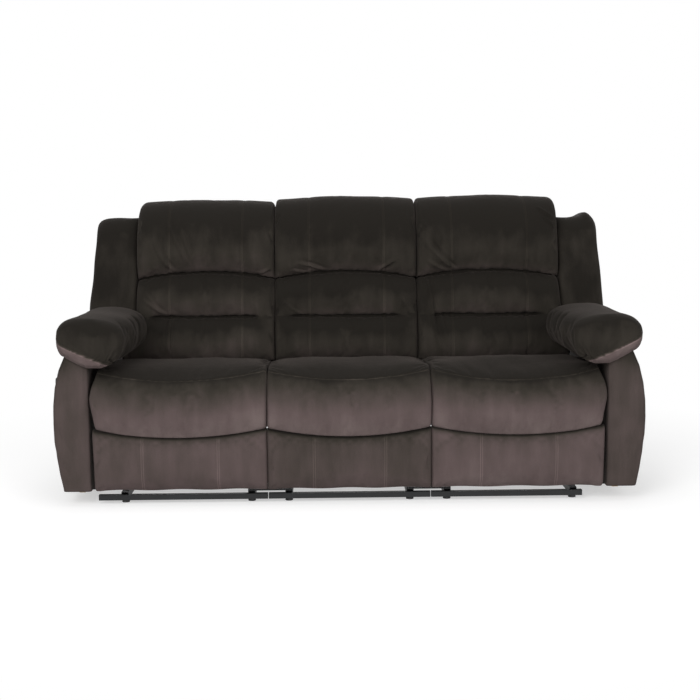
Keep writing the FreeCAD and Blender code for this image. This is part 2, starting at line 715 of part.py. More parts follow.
def make_seat_plates(name, centre):
    """Side plates under the seat, with every pivot that the seat carries."""
    body = new_body(f"{name}_seat_plates")
    sketch = new_sketch(body, "YZ_Plane", PLATE_IN)
    margin = S.swing_half + 1
    nose = S.pivot_c_fwd + S.link_half
    low = S.pivot_a_up - margin
    mid_up = S.seat_board_low + S.board_thick / 2
    hinge_far = S.hinge_back + S.hinge_half
    polygon(sketch, (
        (-S.pivot_a_fwd - margin, low),
        (FRONT_TOP_Y - margin, SWING_TOP_Z - margin),
        (FRONT_TOP_Y + margin, SWING_TOP_Z - margin),
        (FRONT_TOP_Y + 3 * margin, S.seat_board_low - margin),
        (REAR_TOP_Y - 3 * margin, S.seat_board_low - margin),
        (REAR_TOP_Y - margin, SWING_TOP_Z - margin),
        (REAR_TOP_Y + margin, SWING_TOP_Z - margin),
        (hinge_far, S.hinge_up - S.hinge_half),
        (hinge_far, S.hinge_up + S.hinge_half),
        (S.seat_board_rear, mid_up + S.board_thick),
        (-S.seat_board_front + S.board_thick, mid_up + S.board_thick),
        (-nose, S.pivot_c_up + S.link_half),
        (-nose, S.pivot_c_up - S.link_half),
    ))
    pad(body, sketch, S.plate_thick)
    round_edges(body, S.swing_half / 2, runs_along_x)
    rivet_outward(body, FRONT_TOP_Y, SWING_TOP_Z, PLATE_OUT, SWING_IN + S.plate_thick)
    rivet_outward(body, REAR_TOP_Y, SWING_TOP_Z, PLATE_OUT, SWING_IN + S.plate_thick)
    rivet_inward(body, -S.pivot_a_fwd, S.pivot_a_up, PLATE_IN, LINK_A_IN)
    rivet_inward(body, -S.pivot_c_fwd, S.pivot_c_up, PLATE_IN, LINK_C_IN)
    rivet_inward(body, S.hinge_back, S.hinge_up, PLATE_IN, BACK_BRACKET_IN)
    mirror_pair(body)
    place(body, centre)


def make_footrest_linkage(name, centre):
    """Two crossed pairs of links that push the footrest out and turn it level."""
    make_link(
        f"{name}_link_a", centre, (S.pivot_a_fwd, S.pivot_a_up), S.link_a_rest, LINK_A_IN,
        S.link_a_length, S.link_half,
        holes=((0, HOLE_RADIUS),),
        rivets=((S.link_a_length, LINK_B_IN),),
    )
    make_link(
        f"{name}_link_b", centre, LINK_A_END, S.link_b_rest, LINK_B_IN,
        S.link_b_length, S.link_half,
        holes=((0, HOLE_RADIUS), (S.link_b_cross, OPEN_HOLE_RADIUS)),
        rivets=((S.link_b_length, BRACKET_IN),),
    )
    make_link(
        f"{name}_link_c", centre, (S.pivot_c_fwd, S.pivot_c_up), S.link_c_rest, LINK_C_IN,
        S.link_c_length, S.link_half,
        holes=((0, HOLE_RADIUS),),
        rivets=((S.link_c_length, LINK_D_IN),),
        studs=((S.link_c_cross, LINK_C_IN + S.plate_thick, LINK_B_IN + S.plate_thick),),
    )
    make_link(
        f"{name}_link_d", centre, LINK_C_END, S.link_d_rest, LINK_D_IN,
        S.link_d_length, S.link_half,
        holes=((0, HOLE_RADIUS), (S.link_d_length, OPEN_HOLE_RADIUS)),
    )


def make_footrest_brackets(name, centre):
    """Angle brackets between the linkage and the footrest board."""
    body = new_body(f"{name}_footrest_brackets")
    sketch = new_sketch(body, "YZ_Plane", BRACKET_IN)
    half = S.link_half
    polygon(sketch, (
        (-S.footrest_back, BRACKET_LOW[1] - 4 * half),
        (-S.footrest_back + 2, BRACKET_LOW[1] - 4 * half),
        (half - BRACKET_LOW[0], BRACKET_LOW[1] - half),
        (half - BRACKET_LOW[0], BRACKET_LOW[1] + half / 2),
        (half - LINK_B_END[0], LINK_B_END[1]),
        (half - LINK_B_END[0], LINK_B_END[1] + half),
        (-half / 2 - LINK_B_END[0], LINK_B_END[1] + half),
        (-S.footrest_back, S.footrest_board_high),
    ))
    circle(sketch, -LINK_B_END[0], LINK_B_END[1], HOLE_RADIUS)
    pad(body, sketch, S.plate_thick)
    # the flange lies flat on the back of the board
    sketch = new_sketch(body, "YZ_Plane", BRACKET_IN - 2 * half)
    rectangle(
        sketch, -S.footrest_back, S.plate_thick - S.footrest_back,
        BRACKET_LOW[1] - 4 * half, S.footrest_board_high - half,
    )
    pad(body, sketch, 2 * half + S.plate_thick)
    stud_end = LINK_D_IN - S.head_gap
    pin(body, -BRACKET_LOW[0], BRACKET_LOW[1], stud_end, BRACKET_IN, PIN_RADIUS)
    head_radius = OPEN_HOLE_RADIUS + S.open_clear
    pin(body, -BRACKET_LOW[0], BRACKET_LOW[1], stud_end - S.head_thick, stud_end, head_radius)
    mirror_pair(body)
    place(body, centre)


# Wooden frames and springs

def back_front_y(up):
    """Front plane of the back frame at a height."""
    lean = sin_of(S.back_lean) / cos_of(S.back_lean)
    return S.back_foot_back + (up - S.back_foot_up) * lean


def make_springs(label, centre, half_span):
    """Sinuous springs between the front and rear boards, each bent in a flat wave."""
    front = S.board_thick - S.seat_board_front
    rear = S.seat_board_rear - S.board_thick
    low = S.seat_board_high - S.spring_drop - S.spring_thick
    body = new_body(label)
    sketch = new_sketch(body, "XY_Plane", low)
    waves = max(3, round((rear.value - front.value) / S.spring_wave.value))
    wire = S.spring_thick
    step = (rear - front) / (2 * waves)
    swing = S.spring_swing
    one_side = []
    other_side = []
    for index in range(2 * waves + 1):
        sign = 1 if index % 2 else -1
        along = front + step * index
        if index in (0, 2 * waves):
            one_side.append((-wire, along))
            other_side.append((as_size(wire), along))
            continue
        one_side.append((sign * swing - wire, along))
        other_side.append((sign * swing + wire, along))
    polygon(sketch, one_side + other_side[::-1])
    pad(body, sketch, S.spring_thick)
    DOC.recompute()
    pattern = body.newObject("PartDesign::LinearPattern", "Row")
    pattern.TransformMode = "Whole shape"
    pattern.Direction = (origin_plane(body, "YZ_Plane"), [""])
    pattern.Mode = "Spacing"
    bind(pattern, "Offset", S.spring_pitch)
    pattern.Occurrences = 2 * int(half_span.value / S.spring_pitch.value) + 1
    body.Tip = pattern
    first = S.spring_pitch * int(half_span.value / S.spring_pitch.value)
    place(body, centre - first)
    return body


def make_seat_frame(label, centre, side_in, front_half, rear_end):
    """Four boards: two sides, front and rear."""
    side_out = side_in + S.board_thick
    low = S.seat_board_low
    high = S.seat_board_high
    front = -S.seat_board_front
    behind_front = front + S.board_thick
    rear_low = S.seat_board_rear - S.board_thick
    # the rear board stops at the steel plates on the sides' inner faces
    rear_half = side_in - S.plate_thick
    members = [
        board(f"{label}_front", centre - front_half, centre + front_half, front, behind_front, low, high),
        board(f"{label}_rear", centre - rear_half, centre + rear_half, rear_low, S.seat_board_rear, low, high),
        board(f"{label}_side_1", centre - side_out, centre - side_in, behind_front, rear_end, low, high),
        board(f"{label}_side_2", centre + side_in, centre + side_out, behind_front, rear_end, low, high),
    ]
    group(label, members)


def make_leaning_piece(label, low_x, high_x, depth_from, depth_to, low_z, high_z):
    """A board in the plane of the back: a parallelogram across the given width."""
    body = new_body(label)
    sketch = new_sketch(body, "YZ_Plane", 0)
    polygon(sketch, (
        (back_front_y(low_z) + depth_from, low_z),
        (back_front_y(low_z) + depth_to, low_z),
        (back_front_y(high_z) + depth_to, high_z),
        (back_front_y(high_z) + depth_from, high_z),
    ))
    pad(body, sketch, high_x - low_x)
    place(body, low_x)
    return body


def make_back_frame(label, centre, post_half, rail_low_x, rail_high_x):
    """Two posts with rails between and in front of the padded outer panel."""
    depth = S.back_depth
    thick = S.board_thick
    post_in = post_half - thick
    head = S.back_head_up
    members = []
    for name, low_x in (("post_1", centre - post_half), ("post_2", centre + post_in)):
        piece = make_leaning_piece(f"{label}_{name}", low_x, low_x + thick, 0, depth, S.back_foot_up, head)
        members.append(piece)
    rail_height = 3 * thick
    heights = (
        ("low", S.back_bottom_up),
        ("mid", S.tier_high_up - rail_height),
        ("top", head - rail_height),
    )
    for name, low_z in heights:
        piece = make_leaning_piece(
            f"{label}_rail_{name}", centre - post_in, centre + post_in, 0, depth / 2,
            low_z, low_z + rail_height,
        )
        members.append(piece)
    # outriggers carry the cover's side walls and, on an end seat, the wing
    for name, low_z in (("mid", S.tier_high_up - rail_height), ("top", head - rail_height)):
        for end, start_x, end_x in (
            ("1", rail_low_x, centre - post_half),
            ("2", centre + post_half, rail_high_x),
        ):
            piece = make_leaning_piece(
                f"{label}_{name}_ear_{end}", start_x, end_x, 0, depth / 2, low_z, low_z + rail_height,
            )
            members.append(piece)
    group(label, members)


def make_back_cover(label, low_x, high_x):
    """Padded outer back: one rear panel with two side panels in front of it."""
    depth = S.back_depth
    panel = S.panel_thick
    low = S.back_foot_up - S.foot_height
    head = S.back_head_up
    members = [
        make_leaning_piece(f"{label}_rear", low_x, high_x, depth, depth + panel, low, head),
        make_leaning_piece(f"{label}_side_1", low_x, low_x + panel, 0, depth, low, head),
        make_leaning_piece(f"{label}_side_2", high_x - panel, high_x, 0, depth, low, head),
    ]
    group(label, members)


def make_back_brackets(name, centre):
    """Hinge plates on the outer faces of the back posts."""
    body = new_body(f"{name}_back_brackets")
    sketch = new_sketch(body, "YZ_Plane", BACK_BRACKET_IN)
    half = S.hinge_half
    low = S.hinge_up - 2 * half
    high = S.hinge_up + 10 * half
    inset = S.board_thick / 2
    polygon(sketch, (
        (S.hinge_back - half, S.hinge_up - half),
        (back_front_y(low) + inset, low),
        (back_front_y(low) + 3 * inset, low),
        (back_front_y(high) + 3 * inset, high),
        (back_front_y(high) + inset, high),
        (S.hinge_back - half, S.hinge_up + half),
    ))
    circle(sketch, S.hinge_back, S.hinge_up, HOLE_RADIUS)
    pad(body, sketch, S.plate_thick)
    mirror_pair(body)
    place(body, centre)


def make_centre_stand():
    """Steel plates that hold the fixed centre seat and its front panel over the rails."""
    body = new_body("centre_stand")
    sketch = new_sketch(body, "YZ_Plane", CENTRE_PLATE_IN)
    front = S.gang_depth + S.gang_thick - S.rail_front
    rear = S.rail_rear - S.gang_depth - S.gang_thick
    seat_top = S.seat_board_high - S.board_thick
    arm_low = S.footrest_board_low + S.board_thick
    arm_high = S.footrest_board_high - S.board_thick
    arm_root = front + 2 * S.rail_width
    polygon(sketch, (
        (front, S.foot_height),
        (rear, S.foot_height),
        (rear, seat_top),
        (2 * S.board_thick - S.seat_board_front, seat_top),
        (2 * S.board_thick - S.seat_board_front, arm_high),
        (-S.footrest_back, arm_high),
        (-S.footrest_back, arm_low),
        (front, arm_low),
    ))
    # a large window lightens the plate between its two legs
    inset = 2 * S.rail_width
    rectangle(sketch, arm_root, rear - inset, RAIL_TOP + S.rail_width, S.seat_board_low - S.rail_width)
    pad(body, sketch, S.plate_thick)
    sketch = new_sketch(body, "YZ_Plane", CENTRE_PLATE_IN - 2 * S.link_half)
    rectangle(sketch, -S.footrest_back, S.plate_thick - S.footrest_back, arm_low, arm_high)
    pad(body, sketch, 2 * S.link_half + S.plate_thick)
    mirror_pair(body)
    place(body)


# Soft pieces, lofted through outlines of lines and shallow arcs

def edge_between(start, end, bulge, side):
    """A line, or an arc that bows by the bulge towards the given direction."""
    if abs(bulge) < 1e-6:
        return Part.makeLine(start, end)
    middle = (start + end) * 0.5 + side * bulge
    return Part.Arc(start, middle, end).toShape()


def outline_wire(points, to_space, turn):
    """Wire through (across, up, bulge to the next point); a bulge bows outwards."""
    edges = []
    count = len(points)
    for index, (across, up, bulge) in enumerate(points):
        next_across, next_up, _ = points[(index + 1) % count]
        run_across = next_across - across
        run_up = next_up - up
        length = math.hypot(run_across, run_up)
        start = to_space(across, up)
        end = to_space(next_across, next_up)
        outward = to_space(across - turn * run_up / length, up + turn * run_across / length) - start
        edges.append(edge_between(start, end, bulge, outward))
    return Part.Wire(edges)


def loft_piece(label, wires):
    """A padded piece through its outlines, in straight steps."""
    piece = DOC.addObject("Part::Feature", label)
    piece.Label = label
    piece.Shape = Part.makeLoft(wires, True, True)
    return piece


def turn_of(points):
    """+1 where the outline runs clockwise, -1 where it runs anticlockwise."""
    area = 0
    count = len(points)
    for index, (across, up, _) in enumerate(points):
        next_across, next_up, _ = points[(index + 1) % count]
        area += across * next_up - next_across * up
    return -1 if area > 0 else 1


def loft_across(label, low_x, high_x, stations, outline):
    """Loft along X; the outline function gets -1 at one side, 0 in the middle, +1 at the other."""
    wires = []
    middle = (low_x + high_x) / 2
    half = (high_x - low_x) / 2
    for station in stations:
        points = outline(station)
        plane_x = middle + station * half
        wires.append(outline_wire(points, lambda y, z, x=plane_x: Vec(x, y, z), turn_of(points)))
    return loft_piece(label, wires)


CUSHION_STATIONS = (-1, -0.95, -0.8, -0.4, 0, 0.4, 0.8, 0.95, 1)


def drawn_in(station):
    """How much of the side draw applies: all at the side seam, little just inside it."""
    reach = abs(station)
    if reach > 0.99:
        return 1.0
    if reach > 0.9:
        return 0.25
    return 0.0


def crease_up(station):
    """Height of the crease between seat roll and footrest."""
    return S.crease_end_up.value - S.crease_sag.value * (1 - station * station)


def seat_cushion_outline(station):
    """Side view of the seat: flat underside, front roll, seam, gentle crown."""
    draw = drawn_in(station) * S.side_draw.value
    crown = 1 - station * station
    board_top = S.seat_board_high.value
    board_front = -S.seat_board_front.value
    roll_low = crease_up(station) + S.crease_gap.value / 2 + draw * 0.3
    roll_front = -S.roll_front.value
    seam_up = S.stitch_end_up.value - S.stitch_sag.value * crown - draw * 0.4
    seam_back = roll_front + 42 + 30 * (1 - crown) + draw * 0.3
    top = S.seat_top.value
    return (
        (S.seat_rear.value, board_top, 0),
        (board_front, board_top, 0),
        (board_front, roll_low, 9),
        (roll_front + 10 + draw, roll_low + 58, 11),
        (roll_front + 16 + draw, seam_up - 42, 7),
        (seam_back, seam_up, 4 + S.seat_crown.value * crown),
        (30, top, 2),
        (S.seat_rear.value, top - 6, 0),
    )


def footrest_pad_outline(station):
    """Side view of the footrest pad in front of its board."""
    draw = drawn_in(station) * S.side_draw.value * 0.6
    back = -S.footrest_back.value - S.footrest_board_thick.value
    front = back - S.footrest_pad_thick.value + draw
    top = crease_up(station) - S.crease_gap.value / 2 - draw * 0.2
    low = S.footrest_low.value + draw * 0.5
    return (
        (back, low, 0),
        (back, top, 0),
        (back - 6, top, 6),
        (front + 4, top - 26, 2),
        (front + 2, low + 24, 6),
        (back - 6, low, 0),
    )


def back_cushion_outline(station):
    """Side view of the back: lower tier, lumbar tier and headrest."""
    draw = drawn_in(station) * S.side_draw.value
    crown = 1 - station * station
    low = S.back_bottom_up.value
    head = S.back_head_up.value
    crease_high = S.tier_high_up.value - S.tier_high_drop.value * (1 - crown)
    top = S.head_top_up.value - 6 * (1 - crown)
    rear = back_front_y(S.back_head_up).value + S.back_depth.value + S.panel_thick.value
    soften = 1 - 0.6 * drawn_in(station)
    return (
        (back_front_y(S.back_bottom_up).value, low, 0),
        (S.back_front.value + draw, low, 24 * soften),
        (S.tier_low_back.value - 12 * (1 - crown) + draw * 0.4, S.tier_low_up.value, 24 * soften),
        (S.tier_high_back.value + draw * 0.4, crease_high, 36 * soften),
        (S.head_front_back.value + draw, S.head_front_up.value - draw * 0.4, 9),
        (S.head_front_back.value + 52 + draw, top - draw * 0.7, 8),
        (rear - 34, top - 20 - draw * 0.7, 8),
        (rear, head, 0),
        (back_front_y(S.back_head_up).value, head, 0),
    )


def wing_outline(shrink):
    """Side view of a wing, drawn in by the given amount."""
    low = S.wing_low.value + shrink * 0.3
    top = S.wing_high.value - shrink
    past = S.back_depth.value + S.panel_thick.value

    def rear_y(up):
        level = Size(up, f"({up:.6f})")
        return back_front_y(level).value + past

    front = S.wing_front.value + shrink
    return (
        (rear_y(low), low, 0),
        (front, low, 7),
        (front + 88, top - 46, 10),
        (front + 140, top - 3, 7),
        (rear_y(top - 36) - 26, top - 6, 8),
        (rear_y(top - 36), top - 36, 0),
    )


def make_wing(label, side, low_x, high_x):
    """Padded side wing, rounded on both faces."""
    steps = ((0.0, 9), (0.12, 1), (0.72, 0), (0.92, 8), (1.0, 28))
    wires = []
    for fraction, shrink in steps:
        plane_x = side * (low_x + fraction * (high_x - low_x))
        points = wing_outline(shrink)
        wires.append(outline_wire(points, lambda y, z, x=plane_x: Vec(x, y, z), turn_of(points)))
    return loft_piece(label, wires)


def arm_outline(side, shrink, top):
    """Front view of an arm: upright inner face, flat top, bowed outer face."""
    inner = S.arm_inner.value
    low = S.arm_low.value
    bulge_x = S.arm_bulge_outer.value - shrink
    foot_x = S.arm_foot_outer.value - shrink
    shoulder = min(S.arm_shoulder.value, bulge_x - 40) - shrink * 0.3
    rise = top - low
    points = (
        (inner, low, 0),
        (foot_x, low, 5),
        (bulge_x - 1.5, low + rise * 0.5, 5),
        (bulge_x - 20, low + rise * 0.9, 4),
        (shoulder, top, 0),
        (inner, top, 0),
    )
    return tuple((side * across, up, bulge) for across, up, bulge in points)


def make_arm(name, side, cutters):
    """Padded arm body, hollowed for its wooden panel and its release recess."""
    rear = S.arm_rear.value
    turn = S.arm_round.value
    top = S.arm_top.value
    steps = (
        (-S.arm_front.value, 16, top - 6),
        (-S.arm_front.value + 6, 5, top),
        (-S.arm_front.value + 24, 0, top),
        (rear - turn, 0, top),
        (rear - turn * 0.5, 3, top - turn * 0.134),
        (rear - turn * 0.13, 8, top - turn * 0.5),
        (rear, 18, top - turn),
    )
    wires = []
    for plane_y, shrink, height in steps:
        points = arm_outline(side, shrink, height)
        wires.append(outline_wire(points, lambda x, z, y=plane_y: Vec(x, y, z), turn_of(points)))
    piece = loft_piece(f"{name}_arm_cover", wires)
    for cutter in cutters:
        piece.Shape = piece.Shape.cut(cutter)
    return piece


def pillow_outline(side, inner, outer, top, hang):
    """Front view of an arm pillow: it rests on the arm and hangs over its inner edge."""
    rest = S.arm_top.value + S.pillow_gap.value
    edge = S.arm_inner.value - S.pillow_gap.value
    shoulder = min(S.arm_shoulder.value, outer - 12)
    depth = top - rest
    points = (
        (edge, rest, 0),
        (shoulder, rest, 5),
        (outer, rest + depth * 0.5, 13),
        (outer - (outer - inner) * 0.45, top, 8),
        (inner + 14, top - depth * 0.24, 12),
        (inner + 6, rest + min(depth * 0.06, depth * 0.9), 8),
        (max(edge - 50, inner + 24), rest - hang, 0),
    )
    return tuple((side * across, up, bulge) for across, up, bulge in points)


def make_pillow(name, side):
    """Arm pillow, full over most of its length and tucked in at both ends."""
    outer = S.pillow_outer.value
    inner = S.pillow_inner.value
    top = S.pillow_top.value
    front = -S.pillow_front.value
    rear = S.pillow_rear.value
    steps = (
        (front, inner + 32, outer - 26, top - 26, 20),
        (front + 8, inner + 12, outer - 8, top - 8, 34),
        (front + 34, inner, outer, top, 38),
        (front + 420, inner + 4, outer, top - 2, 36),
        (front + 480, inner + 30, outer - 2, top - 6, 28),
        (rear - 24, S.back_outer.value + 6, outer - 8, top - 22, 3),
        (rear, S.back_outer.value + 12, outer - 26, top - 44, 1),
    )
    wires = []
    for plane_y, low_x, high_x, height, hang in steps:
        points = pillow_outline(side, low_x, high_x, height, hang)
        wires.append(outline_wire(points, lambda x, z, y=plane_y: Vec(x, y, z), turn_of(points)))
    return loft_piece(f"{name}_arm_pillow", wires)


# Release on the outer face of each arm

FLANGE_IN = S.bezel_face - S.bezel_thick
CUP_IN = FLANGE_IN - S.cup_deep
TRUNNION_X = S.bezel_face - S.bezel_thick - S.paddle_thick
TRUNNION_FWD = S.release_fwd + S.paddle_long / 2 - S.trunnion_dia


def make_bezel(label, side):
    """Recessed plastic cup with a flange; the paddle turns on trunnions in its walls."""
    body = new_body(label)
    high = side * S.bezel_face
    sketch = new_sketch(body, "YZ_Plane", side * S.bezel_face if side == LEFT else side * FLANGE_IN)
    rectangle(sketch, -S.bezel_long / 2, S.bezel_long / 2, -S.bezel_high / 2, S.bezel_high / 2)
    pad(body, sketch, S.bezel_thick)
    round_edges(body, S.bezel_high / 6, runs_along_x)
    sketch = new_sketch(body, "YZ_Plane", side * FLANGE_IN if side == LEFT else side * CUP_IN)
    rectangle(sketch, -S.cup_long / 2, S.cup_long / 2, -S.cup_high / 2, S.cup_high / 2)
    pad(body, sketch, S.cup_deep)
    sketch = new_sketch(body, "YZ_Plane", high)
    wall = S.cup_wall
    rectangle(
        sketch, wall - S.cup_long / 2, S.cup_long / 2 - wall,
        wall - S.cup_high / 2, S.cup_high / 2 - wall,
    )
    pocket(body, sketch, S.cup_deep + S.bezel_thick - wall, towards_normal=side == LEFT)
    sketch = new_sketch(body, "XY_Plane")
    circle(sketch, side * TRUNNION_X, S.release_fwd - TRUNNION_FWD, S.trunnion_dia / 2 + S.pin_clear)
    pocket(body, sketch, S.cup_high + S.bezel_high, symmetric=True)
    place(body, 0, -S.release_fwd, S.release_up)
    return body


def make_paddle(label, side):
    """Pull paddle with its two trunnions."""
    body = new_body(label)
    sketch = new_sketch(body, "XY_Plane", -S.paddle_high / 2)
    half = S.paddle_thick / 2
    near_y = S.release_fwd - TRUNNION_FWD - S.trunnion_dia / 2 - 1
    far_y = near_y + S.paddle_long - S.trunnion_dia
    thin = half / 2
    polygon(sketch, (
        (side * (TRUNNION_X - half), near_y),
        (side * (TRUNNION_X + half), near_y),
        (side * (TRUNNION_X + half), far_y - 2 * half),
        (side * (TRUNNION_X + thin), far_y),
        (side * (TRUNNION_X - thin), far_y),
    ))
    pad(body, sketch, S.paddle_high)
    sketch = new_sketch(body, "XY_Plane")
    circle(sketch, side * TRUNNION_X, S.release_fwd - TRUNNION_FWD, S.trunnion_dia / 2)
    pad(body, sketch, S.cup_high - 2 * S.pin_clear, symmetric=True)
    place(body, 0, -S.release_fwd, S.release_up)
    return body


# Assembly

def make_end_seat(side, centre):
    """Everything that reclines on one side."""
    name = SIDE_NAMES[side]
    make_swing_links(name, centre)
    make_seat_plates(name, centre)
    make_footrest_linkage(name, centre)
    make_footrest_brackets(name, centre)
    make_seat_frame(f"{name}_seat_frame", centre, PLATE_OUT, S.front_board_half, S.seat_board_rear)
    make_springs(f"{name}_seat_springs", centre, PLATE_OUT - S.spring_swing - S.spring_thick)
    board_front = -S.footrest_back - S.footrest_board_thick
    board(
        f"{name}_footrest_board", centre - S.footrest_board_half, centre + S.footrest_board_half,
        board_front, -S.footrest_back, S.footrest_board_low, S.footrest_board_high,
    )
    back_low, back_high = sorted((side * S.back_inner, side * S.back_outer), key=lambda size: size.value)
    make_back_brackets(name, centre)
    wall = S.panel_thick
    make_back_frame(f"{name}_back_frame", centre, S.post_half, back_low + wall, back_high - wall)
    make_back_cover(f"{name}_back_cover", back_low, back_high)

    low_x, high_x = sorted((side * S.seat_inner.value, side * S.seat_outer.value))
    loft_across(f"{name}_seat_cushion", low_x, high_x, CUSHION_STATIONS, seat_cushion_outline)
    pad_inner = S.seat_inner.value + S.seam_gap.value
    low_x, high_x = sorted((side * pad_inner, side * S.footrest_outer.value))
    loft_across(f"{name}_footrest_pad", low_x, high_x, CUSHION_STATIONS, footrest_pad_outline)
    low_x, high_x = back_low.value, back_high.value
    loft_across(f"{name}_back_cushion", low_x, high_x, CUSHION_STATIONS, back_cushion_outline)
    make_wing(f"{name}_back_wing", side, S.back_outer.value, S.wing_outer.value)


def make_centre_seat():
    """The fixed middle seat."""
    half = S.centre_half
    make_centre_stand()
    make_seat_frame(
        "centre_seat_frame", as_size(0), CENTRE_PLATE_OUT, half - S.seam_gap,
        back_front_y(S.seat_board_low),
    )
    make_springs(
        "centre_seat_springs", as_size(0), CENTRE_PLATE_OUT - S.spring_swing - S.spring_thick,
    )
    board_front = -S.footrest_back - S.footrest_board_thick
    board(
        "centre_front_board", S.seam_gap - half, half - S.seam_gap, board_front, -S.footrest_back,
        S.footrest_board_low, S.footrest_board_high,
    )
    wall = S.panel_thick
    back_half = S.centre_back_half
    make_back_frame(
        "centre_back_frame", as_size(0), CENTRE_POST_HALF, wall - back_half, back_half - wall,
    )
    make_back_cover("centre_back_cover", -back_half, back_half)
    width = half.value
    loft_across("centre_seat_cushion", -width, width, CUSHION_STATIONS, seat_cushion_outline)
    pad_half = width - S.seam_gap.value
    loft_across("centre_front_pad", -pad_half, pad_half, CUSHION_STATIONS, footrest_pad_outline)
    width = back_half.value
    loft_across("centre_back_cushion", -width, width, CUSHION_STATIONS, back_cushion_outline)


def make_arm_assembly(side):
    """Wooden panel, padded cover, pillow and release of one arm."""
    name = SIDE_NAMES[side]
    panel_low = RAIL_TOP + S.bracket_thick
    panel = board(
        f"{name}_arm_panel", side * S.arm_panel_in, side * (S.arm_panel_in + S.board_thick),
        -S.arm_panel_front, S.arm_panel_rear, panel_low, S.arm_panel_high,
    )
    make_paddle(f"{name}_release_paddle", side)
    DOC.recompute()
    low_x, high_x = sorted((side * CUP_IN.value, side * S.bezel_face.value))
    recess = Part.makeBox(
        high_x - low_x, S.cup_long.value, S.cup_high.value,
        Vec(low_x, -S.release_fwd.value - S.cup_long.value / 2, S.release_up.value - S.cup_high.value / 2),
    )
    make_arm(name, side, (panel.Shape, recess))
    make_pillow(name, side)


def hand_in_names():
    """Labels of the pieces that are written out."""
    names = ["side_rails", "cross_tubes", "feet", "gang_plates", "arm_brackets", "release_bezels"]
    for name in ("left", "right"):
        names += [f"{name}_arm_panel", f"{name}_arm_cover", f"{name}_arm_pillow"]
        for piece in (
            "front_swing_links", "rear_swing_links", "seat_plates", "seat_frame", "seat_springs",
            "seat_cushion", "back_brackets", "back_frame", "back_cushion", "back_cover", "back_wing",
            "link_a", "link_b", "link_c", "link_d", "footrest_brackets", "footrest_board",
            "footrest_pad", "release_paddle",
        ):
            names.append(f"{name}_{piece}")
    for piece in (
        "stand", "seat_frame", "seat_springs", "seat_cushion", "front_board", "front_pad",
        "back_frame", "back_cushion", "back_cover",
    ):
        names.append(f"centre_{piece}")
    return names


def check_document():
    """Stop if any object failed to build."""
    for obj in DOC.Objects:
        if "Invalid" in obj.State or "Error" in obj.State:
            raise RuntimeError(f"{obj.Label} failed: {obj.State}")


def write_pieces():
    """Write one STEP file for each piece."""
    os.makedirs("parts", exist_ok=True)
    pieces = []
    for name in hand_in_names():
        piece = DOC.getObjectsByLabel(name)[0]
        shape = piece.Shape
        if shape.isNull() or not shape.isValid() or not shape.Solids:
            raise RuntimeError(f"{name} has no valid solid")
        pieces.append((name, shape))
    for name, shape in pieces:
        shape.exportStep(f"parts/{name}.step")
    box = pieces[0][1].BoundBox
    for name, shape in pieces[1:]:
        box.add(shape.BoundBox)
    print(f"{len(pieces)} pieces, box x {box.XMin:.1f} {box.XMax:.1f}", end=" ")
    print(f"y {box.YMin:.1f} {box.YMax:.1f} z {box.ZMin:.1f} {box.ZMax:.1f}")


make_base()
for seat_side, seat_middle in END_SEATS:
    make_end_seat(seat_side, seat_middle)
make_centre_seat()
for arm_side in (LEFT, RIGHT):
    make_arm_assembly(arm_side)
group("release_bezels", [make_bezel("bezel_left", LEFT), make_bezel("bezel_right", RIGHT)])
DOC.recompute()
check_document()
write_pieces()
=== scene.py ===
"""Three-seat reclining sofa in brushed velvet: soft pieces, finishes, light and camera.

Frame: metres, +X to the viewer's right, +Y to the back, +Z up, floor at zero. The sofa faces
-Y. Every padded piece is the outside of a block whose points are moved by a shape function;
a short cloth simulation then fills it, and seams and folds are worked in last.
Block positions: a runs across the sofa, b follows the visible face, c goes from the visible
face to the hidden one.
"""

import bpy
import numpy as np
from mathutils import Matrix, Vector


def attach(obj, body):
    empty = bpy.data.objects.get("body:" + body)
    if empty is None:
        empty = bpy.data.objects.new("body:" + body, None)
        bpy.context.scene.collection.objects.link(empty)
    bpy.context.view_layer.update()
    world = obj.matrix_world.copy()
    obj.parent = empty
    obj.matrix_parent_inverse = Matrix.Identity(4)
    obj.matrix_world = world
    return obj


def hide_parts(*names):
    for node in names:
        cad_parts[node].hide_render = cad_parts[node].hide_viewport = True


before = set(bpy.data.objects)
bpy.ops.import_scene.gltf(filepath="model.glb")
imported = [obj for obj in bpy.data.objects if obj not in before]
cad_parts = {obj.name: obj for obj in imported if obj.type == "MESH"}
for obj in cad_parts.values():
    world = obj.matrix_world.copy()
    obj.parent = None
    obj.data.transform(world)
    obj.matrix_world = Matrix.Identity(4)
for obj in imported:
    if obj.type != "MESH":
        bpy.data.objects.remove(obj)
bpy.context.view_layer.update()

MM = 0.001

# Sizes that several pieces share, in millimetres from the middle of the sofa
SEAM_GAP = 1.5
CENTRE_HALF = 286
CENTRE_BACK_HALF = 276
SEAT_OUTER = 900
FOOTREST_OUTER = 893
BACK_OUTER = 814
RIGHT_BACK_WIDER = 20
# the foot of an end back's padding spreads out to here
BACK_FOOT_OUTER = 870
